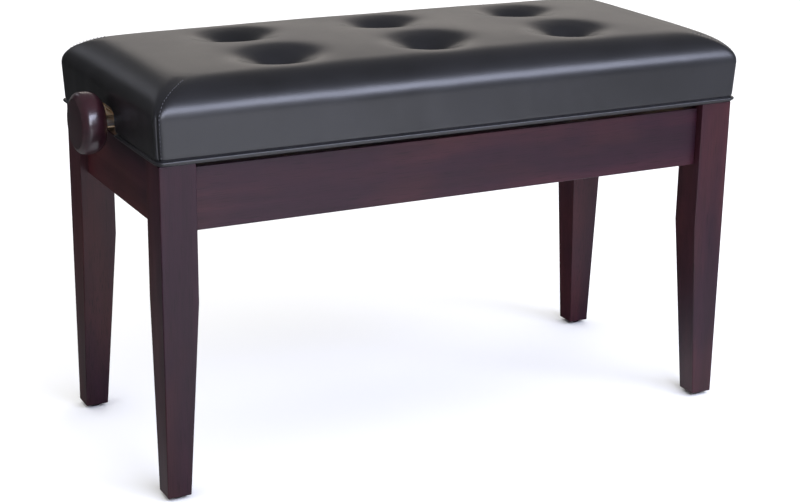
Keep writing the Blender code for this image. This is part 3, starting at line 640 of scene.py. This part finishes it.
def make_steelwork():
    for f in ("front", "rear"):
        dressed("base_rail_" + f, "lower_channel_" + f, "base", STEEL["x"], 0.4, 2)
        dressed("lift_rail_" + f, "upper_channel_" + f, "seat", STEEL["x"], 0.4, 2)
        dressed("arm_outer_" + f, "outer_link_" + f, "outer_arms", STEEL["x"], 0.4, 2)
        dressed("arm_inner_" + f, "inner_link_" + f, "inner_arms", STEEL["x"], 0.4, 2)
    for e in ("left", "right"):
        dressed("bearing_plate_" + e, "screw_bearing_" + e, "base", STEEL["y"], 0.4, 2)
    dressed("nut_carriage", "screw_nut_block", "carriage", ENAMEL, 0.8, 3)


def welt_path(low, high):
    """Line of the piping's middle from one end opening, round one long side, to the other."""
    out = (high.z - low.z) / 2.0
    front = abs(low.y) > abs(high.y)
    reach_x, reach_y = high.x - out, (abs(low.y) if front else high.y) - out
    stop = abs(high.y) if front else abs(low.y)
    z = (low.z + high.z) / 2.0
    end_steps, turn_steps, side_steps = 22, 12, 120
    end = []
    for i in range(end_steps + 1):
        end.append((-reach_x, -(stop + (reach_y - CORNER - stop) * i / end_steps), z))
    for i in range(1, turn_steps):
        a = math.radians(180.0 + 90.0 * i / turn_steps)
        end.append((-reach_x + CORNER + CORNER * math.cos(a), -(reach_y - CORNER) + CORNER * math.sin(a), z))
    path = list(end)
    for i in range(side_steps + 1):
        path.append((-(reach_x - CORNER) + 2.0 * (reach_x - CORNER) * i / side_steps, -reach_y, z))
    path += [(-x, y, z) for x, y, z in reversed(end)]
    return path if front else [(-x, -y, z) for x, y, z in path]


def piping_section():
    """Piping cord over its stitched binding: two lobes with a seam line between."""
    upper = [(1.75 * math.cos(math.radians(a)), 0.95 + 1.75 * math.sin(math.radians(a)))
             for a in (-48, -20, 10, 35, 60, 90, 120, 155, 190, 222)]
    lower = [(-1.5 + 1.1 * math.cos(math.radians(a)), -1.2 + 1.0 * math.sin(math.radians(a)))
             for a in (140, 175, 215, 250, 285, 320, 355, 40)]
    return upper[:-2] + [(-1.6, 3.3), (-5.0, 3.3), (-5.0, -2.5)] + lower[1:]


def swept(name, path, section, material):
    """Section carried along a level path, ends drawn in and closed."""
    points, faces = [], []
    count = len(section)
    for k, at in enumerate(path):
        ahead = Vector(path[min(k + 1, len(path) - 1)]) - Vector(path[max(k - 1, 0)])
        out = ahead.cross(Vector((0.0, 0.0, 1.0))).normalized()
        end = min(k, len(path) - 1 - k)
        scale = (0.72, 0.95, 1.0)[min(end, 2)]
        sway = 0.12 * noise.noise(Vector((at[0] * 0.03, at[1] * 0.03, 2.0)))
        for o, u in section:
            points.append(Vector(at) + out * (o * scale) + Vector((0.0, 0.0, u * scale + sway)))
    for k in range(len(path) - 1):
        for i in range(count):
            j = (i + 1) % count
            faces.append((k * count + i, k * count + j, (k + 1) * count + j, (k + 1) * count + i))
    faces.append(tuple(range(count)))
    faces.append(tuple(reversed(range((len(path) - 1) * count, len(path) * count))))
    made = piece_from(name, points, faces, material)
    face_outward(made)
    return made


def stands_for(piece, node, body):
    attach(piece, body)
    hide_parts(node)


def make_piping():
    for f in ("front", "rear"):
        low, high = sizes("welt_" + f)
        stands_for(swept("piping_" + f, welt_path(low, high), piping_section(), PIPING_VINYL),
                   "welt_" + f, "seat")


HEM_HALF_X, HEM_HALF_Y = 371.0, 161.0
HEM_WIDTH = (21.0, 20.0)     # at the ends and along the sides
HEM_STOP = 34.0              # where it ends beside the screw opening
HEM_RAGGED = 1.6             # unevenness of its cut edge


def make_hem():
    """Cover's edge turned under the seat frame and flattened, one U-shaped strip for each long side."""
    level = sizes("seat_rail_front")[0].z
    turn = [(HEM_HALF_X, HEM_STOP), (HEM_HALF_X, HEM_HALF_Y - 11.0), (HEM_HALF_X - 5.0, HEM_HALF_Y - 2.0),
            (HEM_HALF_X - 14.0, HEM_HALF_Y)]
    straight = [(-350.0 + 20.0 * i, HEM_HALF_Y) for i in range(36)]
    outer = [(-x, y) for x, y in turn] + straight + list(reversed(turn))
    for f, sy in SIDES:
        inner = []
        for x, y in outer:
            ragged = HEM_RAGGED * noise.noise(Vector((x * 0.05, y * 0.05, sy)))
            inner.append((math.copysign(min(abs(x), HEM_HALF_X - HEM_WIDTH[0] + ragged), x),
                          min(y, HEM_HALF_Y - HEM_WIDTH[1] + ragged)))
        points, faces = [], []
        for z in (level - 0.2, level + 0.5):
            points += [(x, sy * y, z) for x, y in outer] + [(x, sy * y, z) for x, y in inner]
        n = len(outer)
        for k in range(n - 1):
            faces += [(k, k + 1, n + k + 1, n + k), (2 * n + k, 3 * n + k, 3 * n + k + 1, 2 * n + k + 1),
                      (k, 2 * n + k, 2 * n + k + 1, k + 1), (n + k, n + k + 1, 3 * n + k + 1, 3 * n + k)]
        faces += [(0, n, 3 * n, 2 * n), (n - 1, 3 * n - 1, 4 * n - 1, 2 * n - 1)]
        hem = piece_from("turned_hem_" + f, points, faces, COVER_VINYL, smooth=False)
        face_outward(hem)
        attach(hem, "seat")


def make_buttons():
    for (f, e), (low, high) in BUTTONS.items():
        tall, radius = high.z - low.z, (high.x - low.x) / 2.0
        dome = [(0.0, 0.0), (0.0, radius - 0.9), (0.25, radius - 0.25), (0.9, radius)]
        for i in range(1, 9):
            a = 0.5 * math.pi * i / 9
            dome.append((0.9 + (tall - 0.9) * math.sin(a), radius * math.cos(a) ** 0.8))
        dome.append((tall, 0.0))
        centre = ((low.x + high.x) / 2.0, (low.y + high.y) / 2.0, low.z)
        stands_for(turned("covered_button_%s_%s" % (f, e), dome, centre, "z", COVER_VINYL, 40),
                   "button_%s_%s" % (f, e), "seat")


CREST = 0.43                 # where the knob is widest, as a share of its thickness from the outer face


def make_knobs():
    for e, side in ENDS:
        low, high = sizes("knob_" + e)
        thick, radius = high.x - low.x, (high.z - low.z) / 2.0
        face = radius - 7.5
        profile = [(0.0, 0.0), (0.0, face - 2.2), (0.25, face - 1.0)]
        for i in range(1, 30):
            along = (1.0 - math.cos(math.pi * i / 30)) / 2.0
            off = (along - CREST) / (CREST if along < CREST else 1.0 - CREST)
            profile.append((thick * along, radius - (radius - face) * abs(off) ** (4.2 if off < 0.0 else 2.9)))
        profile += [(thick - 0.25, face - 1.0), (thick, face - 2.2), (thick, 0.0)]
        if side > 0:
            profile = [(thick - along, r) for along, r in reversed(profile)]
        knob = turned("turned_knob_" + e, profile, (low.x, 0.0, (low.z + high.z) / 2.0), "x", LACQUER, 96)
        knob.data.set_sharp_from_angle(angle=math.radians(60))
        even_shading(knob)
        stands_for(knob, "knob_" + e, "screw")


SCREW_PITCH = 2.0
THREAD_HALF = 62.0


def make_screw():
    """Lead screw: plain ends with eased tips, trapezoid thread over the nut's travel."""
    low, high = sizes("lead_screw")
    nut_low, nut_high = sizes("nut_carriage")
    radius, middle, z = high.y, (nut_low.x + nut_high.x) / 2.0 - 12.0, (low.z + high.z) / 2.0
    start, stop = middle - THREAD_HALF, middle + THREAD_HALF
    plain = [low.x, low.x + 0.8] + [low.x + 2.0, start - 2.0, start - 0.6]
    thread = [start + 0.4 * i for i in range(int((stop - start) / 0.4) + 1)]
    ends = [stop + 0.6, stop + 2.0, high.x - 2.0, high.x - 0.8, high.x]
    count = 24
    points, faces = [], []
    stations = plain + thread + ends
    for x in stations:
        for i in range(count):
            turn = i / count
            r = radius - (0.9 if x in (low.x, high.x) else 0.0)
            if start <= x <= stop:
                phase = (x / SCREW_PITCH - turn) % 1.0
                tooth = min(1.0, max(0.0, 2.0 - abs(phase - 0.5) * 6.0))
                r = radius - 1.0 + tooth
            points.append((x, r * math.cos(2.0 * math.pi * turn), z + r * math.sin(2.0 * math.pi * turn)))
    for k in range(len(stations) - 1):
        for i in range(count):
            j = (i + 1) % count
            faces.append((k * count + i, k * count + j, (k + 1) * count + j, (k + 1) * count + i))
    last = (len(stations) - 1) * count
    faces += [tuple(range(count)), tuple(last + i for i in reversed(range(count)))]
    made = piece_from("threaded_screw", points, faces, STEEL["y"])
    face_outward(made)
    made.data.set_sharp_from_angle(angle=math.radians(35))
    stands_for(made, "lead_screw", "screw")
    for e in ("left", "right"):
        dressed("collar_" + e, "screw_collar_" + e, "screw", STEEL["y"], 0.7, 3)


def round_bar(node, name, body, groove):
    """Bar or pin along Y with chamfered ends and a clip groove near each."""
    low, high = sizes(node)
    long, radius = high.y - low.y, (high.z - low.z) / 2.0
    profile = [(0.0, 0.0), (0.0, radius - 0.8), (0.8, radius)]
    if groove:
        profile += [(groove, radius), (groove + 0.1, radius - 0.8), (groove + 1.2, radius - 0.8),
                    (groove + 1.3, radius)]
        profile += [(long - groove - 1.3, radius), (long - groove - 1.2, radius - 0.8),
                    (long - groove - 0.1, radius - 0.8), (long - groove, radius)]
    profile += [(long - 0.8, radius), (long, radius - 0.8), (long, 0.0)]
    centre = ((low.x + high.x) / 2.0, low.y, (low.z + high.z) / 2.0)
    made = turned(name, profile, centre, "y", STEEL["y"], 32)
    made.data.set_sharp_from_angle(angle=math.radians(35))
    stands_for(made, node, body)


def make_pins_and_glides():
    round_bar("lower_shaft", "pivot_shaft", "outer_arms", 13.5)
    round_bar("slide_shaft", "nut_shaft", "inner_arms", 13.5)
    for f in ("front", "rear"):
        round_bar("slide_pin_" + f, "roller_pin_" + f, "outer_arms", 1.6)
        round_bar("centre_pin_" + f, "cross_pin_" + f, "outer_arms", 0.0)
        round_bar("upper_pin_" + f, "hinge_pin_" + f, "inner_arms", 1.6)
        for e in ("left", "right"):
            low, high = sizes("glide_%s_%s" % (f, e))
            radius, tall = (high.x - low.x) / 2.0, high.z
            profile = [(0.0, 0.0), (0.0, radius - 3.0), (0.5, radius - 1.2), (1.6, radius - 0.2), (2.6, radius),
                       (tall, radius), (tall, 0.0)]
            centre = ((low.x + high.x) / 2.0, (low.y + high.y) / 2.0, 0.0)
            stands_for(turned("nail_glide_%s_%s" % (f, e), profile, centre, "z", NYLON, 36),
                       "glide_%s_%s" % (f, e), "base")


# ---------------------------------------------------------------- what repeats: stitches and screw heads

def new_group(name, named):
    """Geometry tree with a Geometry input and named inputs: (name, socket type, default)."""
    tree = bpy.data.node_groups.new(name, "GeometryNodeTree")
    tree.interface.new_socket("Geometry", in_out="INPUT", socket_type="NodeSocketGeometry")
    for label, kind, value in named:
        socket = tree.interface.new_socket(label, in_out="INPUT", socket_type=kind)
        if value is not None:
            socket.default_value = value
    tree.interface.new_socket("Geometry", in_out="OUTPUT", socket_type="NodeSocketGeometry")
    return tree, add(tree, "NodeGroupInput").outputs


def stitch_group():
    """Lock stitches laid end to end along every edge path of the mesh it is put on."""
    tree, given = new_group("stitch_row", (
        ("Pitch", "NodeSocketFloat", mm(3.0)), ("Length", "NodeSocketFloat", mm(2.2)),
        ("Thread", "NodeSocketFloat", mm(0.4)), ("Finish", "NodeSocketMaterial", None)))
    line = add(tree, "GeometryNodeMeshToCurve", {"Mesh": given["Geometry"]})
    spaced = add(tree, "GeometryNodeResampleCurve", {"Curve": line.outputs["Curve"], "Length": given["Pitch"]},
                 mode="LENGTH")
    tangent = add(tree, "GeometryNodeInputTangent")
    turn = add(tree, "FunctionNodeAlignRotationToVector", {"Vector": tangent.outputs["Tangent"]}, axis="X")
    size = add(tree, "ShaderNodeCombineXYZ", {"X": given["Length"], "Y": given["Thread"], "Z": given["Thread"]})
    bead = add(tree, "GeometryNodeMeshUVSphere", {"Segments": 8, "Rings": 5, "Radius": 0.5})
    laid = add(tree, "GeometryNodeInstanceOnPoints",
               {"Points": spaced.outputs["Curve"], "Instance": bead.outputs["Mesh"],
                "Rotation": turn.outputs["Rotation"], "Scale": size.outputs[0]})
    real = add(tree, "GeometryNodeRealizeInstances", {"Geometry": laid.outputs["Instances"]})
    dyed = add(tree, "GeometryNodeSetMaterial", {"Geometry": real.outputs["Geometry"], "Material": given["Finish"]})
    add(tree, "NodeGroupOutput", {"Geometry": dyed.outputs["Geometry"]})
    return tree


def head_group():
    """Pan-head screws with a cross recess, one on each vertex, facing the vertex's own facing vector."""
    tree, given = new_group("screw_heads", (
        ("Radius", "NodeSocketFloat", mm(3.5)), ("Height", "NodeSocketFloat", mm(0.9)),
        ("Finish", "NodeSocketMaterial", None)))
    top = add(tree, "ShaderNodeMath", {0: given["Radius"], 1: 0.62}, operation="MULTIPLY")
    pan = add(tree, "GeometryNodeMeshCone", {"Vertices": 20, "Radius Top": top.outputs[0],
                                             "Radius Bottom": given["Radius"], "Depth": given["Height"]})
    reach = add(tree, "ShaderNodeMath", {0: given["Radius"], 1: 0.95}, operation="MULTIPLY")
    slit = add(tree, "ShaderNodeMath", {0: given["Radius"], 1: 0.22}, operation="MULTIPLY")
    one = add(tree, "ShaderNodeCombineXYZ", {"X": reach.outputs[0], "Y": slit.outputs[0], "Z": given["Height"]})
    other = add(tree, "ShaderNodeCombineXYZ", {"X": slit.outputs[0], "Y": reach.outputs[0], "Z": given["Height"]})
    bit_one = add(tree, "GeometryNodeMeshCube", {"Size": one.outputs[0]})
    bit_two = add(tree, "GeometryNodeMeshCube", {"Size": other.outputs[0]})
    lift = add(tree, "ShaderNodeMath", {0: given["Height"], 1: 0.65}, operation="MULTIPLY")
    up = add(tree, "ShaderNodeCombineXYZ", {"Z": lift.outputs[0]})
    bits = add(tree, "GeometryNodeJoinGeometry", {"Geometry": bit_one.outputs["Mesh"]})
    tree.links.new(bit_two.outputs["Mesh"], bits.inputs["Geometry"])
    raised = add(tree, "GeometryNodeTransform", {"Geometry": bits.outputs["Geometry"], "Translation": up.outputs[0]})
    driven = add(tree, "GeometryNodeMeshBoolean", {"Mesh 1": pan.outputs["Mesh"], "Mesh 2": raised.outputs["Geometry"]},
                 operation="DIFFERENCE")
    facing = add(tree, "GeometryNodeInputNamedAttribute", {"Name": "facing"}, data_type="FLOAT_VECTOR")
    turn = add(tree, "FunctionNodeAlignRotationToVector", {"Vector": facing.outputs["Attribute"]}, axis="Z")
    laid = add(tree, "GeometryNodeInstanceOnPoints", {"Points": given["Geometry"], "Instance": driven.outputs["Mesh"],
                                                      "Rotation": turn.outputs["Rotation"]})
    real = add(tree, "GeometryNodeRealizeInstances", {"Geometry": laid.outputs["Instances"]})
    plated = add(tree, "GeometryNodeSetMaterial", {"Geometry": real.outputs["Geometry"], "Material": given["Finish"]})
    add(tree, "NodeGroupOutput", {"Geometry": plated.outputs["Geometry"]})
    return tree


def grown(name, tree, values, points, edges=(), facing=()):
    """Runs a geometry tree on points and edges given in millimetres, and keeps the result as a plain mesh."""
    data = bpy.data.meshes.new(name + "_seed")
    data.from_pydata([tuple(mm(c) for c in p) for p in points], list(edges), [])
    if facing:
        layer = data.attributes.new("facing", "FLOAT_VECTOR", "POINT")
        for k, way in enumerate(facing):
            layer.data[k].vector = way
    seed = bpy.data.objects.new(name + "_seed", data)
    bpy.context.scene.collection.objects.link(seed)
    worker = seed.modifiers.new("grow", "NODES")
    worker.node_group = tree
    for socket in tree.interface.items_tree:
        if socket.in_out == "INPUT" and socket.name in values:
            worker[socket.identifier] = values[socket.name]
    seed.update_tag()
    graph = bpy.context.evaluated_depsgraph_get()
    graph.update()
    mesh = bpy.data.meshes.new_from_object(seed.evaluated_get(graph))
    seed.modifiers.clear()
    bpy.data.objects.remove(seed)
    mesh.name = name
    made = bpy.data.objects.new(name, mesh)
    bpy.context.scene.collection.objects.link(made)
    return made


STITCH_AWAY = 4.2            # from the seam to the stitches, on the long side


def seam_line(sx, sy):
    """Row of points beside one corner seam, from just above the hem up over the roll."""
    row = []
    for i in range(14):
        share = 0.08 + 0.92 * i / 13
        x, y, z = side_point("x", STITCH_AWAY, share, 0.0)
        row.append((sx * (x + 0.1), sy * (y + 0.1), z))
    for i in range(1, 16):
        inset = SEAM_REACH * (1.0 - math.cos(0.5 * math.pi * i / 16))
        away = STITCH_AWAY * corner_round(inset) / CORNER * 0.8 if inset > 10 else STITCH_AWAY
        x, y = plan_point(SEAT_HALF_X - inset, SEAT_HALF_Y - inset, corner_round(inset), "x", away)
        row.append((sx * (x + 0.08), sy * (y + 0.08), top_height(x, y, inset) + 0.12))
    return row


def make_stitching():
    points, edges = [], []
    for sx in (-1, 1):
        for sy in (-1, 1):
            row = seam_line(sx, sy)
            edges += [(len(points) + k, len(points) + k + 1) for k in range(len(row) - 1)]
            points += row
    made = grown("corner_stitching", stitch_group(), {"Pitch": mm(4.6), "Length": mm(2.7), "Thread": mm(0.65),
                                                      "Finish": THREAD}, points, edges)
    made.data.shade_smooth()
    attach(made, "seat")


def make_screws():
    heads = head_group()
    plans = []
    rail, rail_high = sizes("base_rail_front")
    reach = rail_high.x - 7.0
    web = rail.y + 3.0
    body = [((x, s * abs(web), z), (0.0, -s, 0.0)) for s in (-1, 1) for x in (-reach, reach) for z in (348.0, 366.0)]
    for e, side in ENDS:
        low, high = sizes("bearing_plate_" + e)
        face_x = side * min(abs(low.x), abs(high.x))
        body += [((face_x, y, z), (-side, 0.0, 0.0)) for y in (-14.0, 14.0) for z in (341.0, 366.0)]
        for f, sy in SIDES:
            low, high = sizes("corner_block_%s_%s" % (f, e))
            mid = ((low.x + high.x) / 2.0, (low.y + high.y) / 2.0)
            out = Vector((-side, -sy, 0.0)).normalized()
            body += [((mid[0], mid[1], z), tuple(out)) for z in (343.0, 359.0)]
    plans.append(("frame_screws", "base", body))
    low, high = sizes("lift_rail_front")
    plans.append(("lift_screws", "seat", [((x, s * (abs(high.y) + 6.0), high.z - 3.0), (0.0, 0.0, -1.0))
                                          for s in (-1, 1) for x in (-165.0, -55.0, 55.0, 165.0)]))
    for name, body_name, spots in plans:
        made = grown(name, heads, {"Radius": mm(3.6), "Height": mm(0.9), "Finish": STEEL["y"]},
                     [Vector(p) + Vector(w) * 0.45 for p, w in spots], facing=[w for p, w in spots])
        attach(made, body_name)


def flag(name, corners):
    """Black felt flag that only reflections see: it keeps one side of the set dark."""
    data = bpy.data.meshes.new(name)
    data.from_pydata(corners, [], [(0, 1, 2, 3)])
    felt, tree, shader, place = start_finish("black_felt", IOR=1.4, Metallic=0.0, Roughness=1.0)
    nap = add(tree, "ShaderNodeTexNoise", {"Vector": place, "Scale": 60.0})
    shade = add(tree, "ShaderNodeValToRGB", {"Fac": nap.outputs["Fac"]},
                stops=((0.3, tone("#060606")), (0.7, tone("#101010"))))
    tree.links.new(shade.outputs["Color"], shader.inputs["Base Color"])
    data.materials.append(felt)
    card = bpy.data.objects.new(name, data)
    bpy.context.scene.collection.objects.link(card)
    card.visible_camera = card.visible_diffuse = card.visible_shadow = False


def mirror_board():
    """Board flush with the floor that only reflections see, its colour a painted reflection: bright in front of the
    bench, falling off to both ends and behind, so that the dark faces keep their shape, and a painted shadow under the
    rear half of the bench and behind it."""
    data = bpy.data.meshes.new("mirror_board")
    data.from_pydata([(-4, -4, 0.0004), (4, -4, 0.0004), (4, 4, 0.0004), (-4, 4, 0.0004)], [], [(0, 1, 2, 3)])
    paint, tree, shader, place = start_finish("painted_reflection_board", IOR=1.4, Metallic=0.0, Roughness=1.0)
    # painted reflection: the board's colour grades set how bright the floor looks in the bench's reflections
    axes = add(tree, "ShaderNodeSeparateXYZ", {"Vector": place})
    across = add(tree, "ShaderNodeMapRange", {"Value": axes.outputs["X"], "From Min": -1.2, "From Max": 1.6})
    behind = add(tree, "ShaderNodeMapRange", {"Value": axes.outputs["Y"], "From Min": 0.35, "From Max": 0.9})
    shade = add(tree, "ShaderNodeValToRGB", {"Fac": across.outputs["Result"]},
                stops=((0.0, tone("#505050")), (1.0, tone("#8c8c8c")), (0.26, tone("#6e6e6e")), (0.35, tone("#dedede")),
                       (0.55, tone("#d8d8d8")), (0.72, tone("#989898"))))
    back = add(tree, "ShaderNodeValToRGB", {"Fac": behind.outputs["Result"]},
               stops=((0.0, tone("#ffffff")), (1.0, tone("#808080"))))
    both = add(tree, "ShaderNodeMixRGB", {"Fac": 1.0, "Color1": shade.outputs["Color"],
                                          "Color2": back.outputs["Color"]}, blend_type="MULTIPLY")
    # painted shadow: darker under the rear half of the bench and behind it, from x = -0.32 m on, fading out towards x =
    # -0.5 m
    under = add(tree, "ShaderNodeMapRange", {"Value": axes.outputs["X"], "From Min": -0.5, "From Max": -0.32})
    deep = add(tree, "ShaderNodeMapRange", {"Value": axes.outputs["Y"], "From Min": -0.1, "From Max": 1.2})
    painted_shadow_band = add(tree, "ShaderNodeValToRGB", {"Fac": deep.outputs["Result"]},
                stops=((0.0, tone("#ffffff")), (1.0, tone("#ffffff")), (0.2, tone("#343434")), (0.62, tone("#343434"))))
    shaded = add(tree, "ShaderNodeMixRGB", {"Fac": under.outputs["Result"], "Color1": tone("#ffffff"),
                                            "Color2": painted_shadow_band.outputs["Color"]})
    final = add(tree, "ShaderNodeMixRGB", {"Fac": 1.0, "Color1": both.outputs["Color"],
                                           "Color2": shaded.outputs["Color"]}, blend_type="MULTIPLY")
    tree.links.new(final.outputs["Color"], shader.inputs["Base Color"])
    data.materials.append(paint)
    board = bpy.data.objects.new("mirror_board", data)
    bpy.context.scene.collection.objects.link(board)
    board.visible_camera = board.visible_diffuse = board.visible_shadow = False


def make_stage():
    data = bpy.data.meshes.new("studio_floor")
    data.from_pydata([(-30, -30, 0), (30, -30, 0), (30, 30, 0), (-30, 30, 0)], [], [(0, 1, 2, 3)])
    data.materials.append(painted_floor())
    floor = bpy.data.objects.new("studio_floor", data)
    bpy.context.scene.collection.objects.link(floor)
    floor.visible_glossy = False
    mirror_board()
    sun = bpy.data.lights.new("ceiling_scrim", "SUN")
    sun.energy = 3.3
    sun.angle = math.radians(110)
    lamp = bpy.data.objects.new("ceiling_scrim", sun)
    lamp.visible_glossy = False
    bpy.context.scene.collection.objects.link(lamp)
    softbox("front_softbox", (0.75, -2.1, 1.75), (0.0, -0.1, 0.4), 2.6, 0.95, 9.5, "#dfe5ff")
    softbox("window_softbox", (-0.3, -2.3, 0.95), (-0.3, -0.1, 0.4), 1.0, 0.6, 6.0, "#eef1ff")
    softbox("rear_softbox", (2.1, 3.2, 1.45), (0.2, 0.1, 0.4), 3.6, 1.5, 0.74, "#fff6ee")
    softbox("corner_softbox", (-1.0, 2.4, 1.55), (-0.3, 0.0, 0.42), 1.0, 0.9, 0.45, "#eef1ff")
    flag("left_flag", [(-0.62, 0.35, 0.2), (-0.84, 1.75, 0.2), (-0.84, 1.75, 0.9), (-0.62, 0.35, 0.9)])
    world = bpy.data.worlds.new("studio")
    world.use_nodes = True
    tree = world.node_tree
    tree.nodes.clear()
    seen = add(tree, "ShaderNodeBackground", {"Color": tone("#ffffff"), "Strength": 1.0})
    fill = add(tree, "ShaderNodeBackground", {"Color": tone("#ffffff"), "Strength": 0.13})
    ray = add(tree, "ShaderNodeLightPath")
    both = add(tree, "ShaderNodeMixShader", {0: ray.outputs["Is Camera Ray"], 1: fill.outputs[0], 2: seen.outputs[0]})
    add(tree, "ShaderNodeOutputWorld", {"Surface": both.outputs[0]})
    bpy.context.scene.world = world
    bpy.context.scene.view_settings.view_transform = "Standard"


make_camera()
make_stage()
make_frame_wood()
make_seat_wood()
make_steelwork()
make_seat_cover()
make_piping()
make_hem()
make_buttons()
make_stitching()
make_knobs()
make_screw()
make_pins_and_glides()
make_screws()
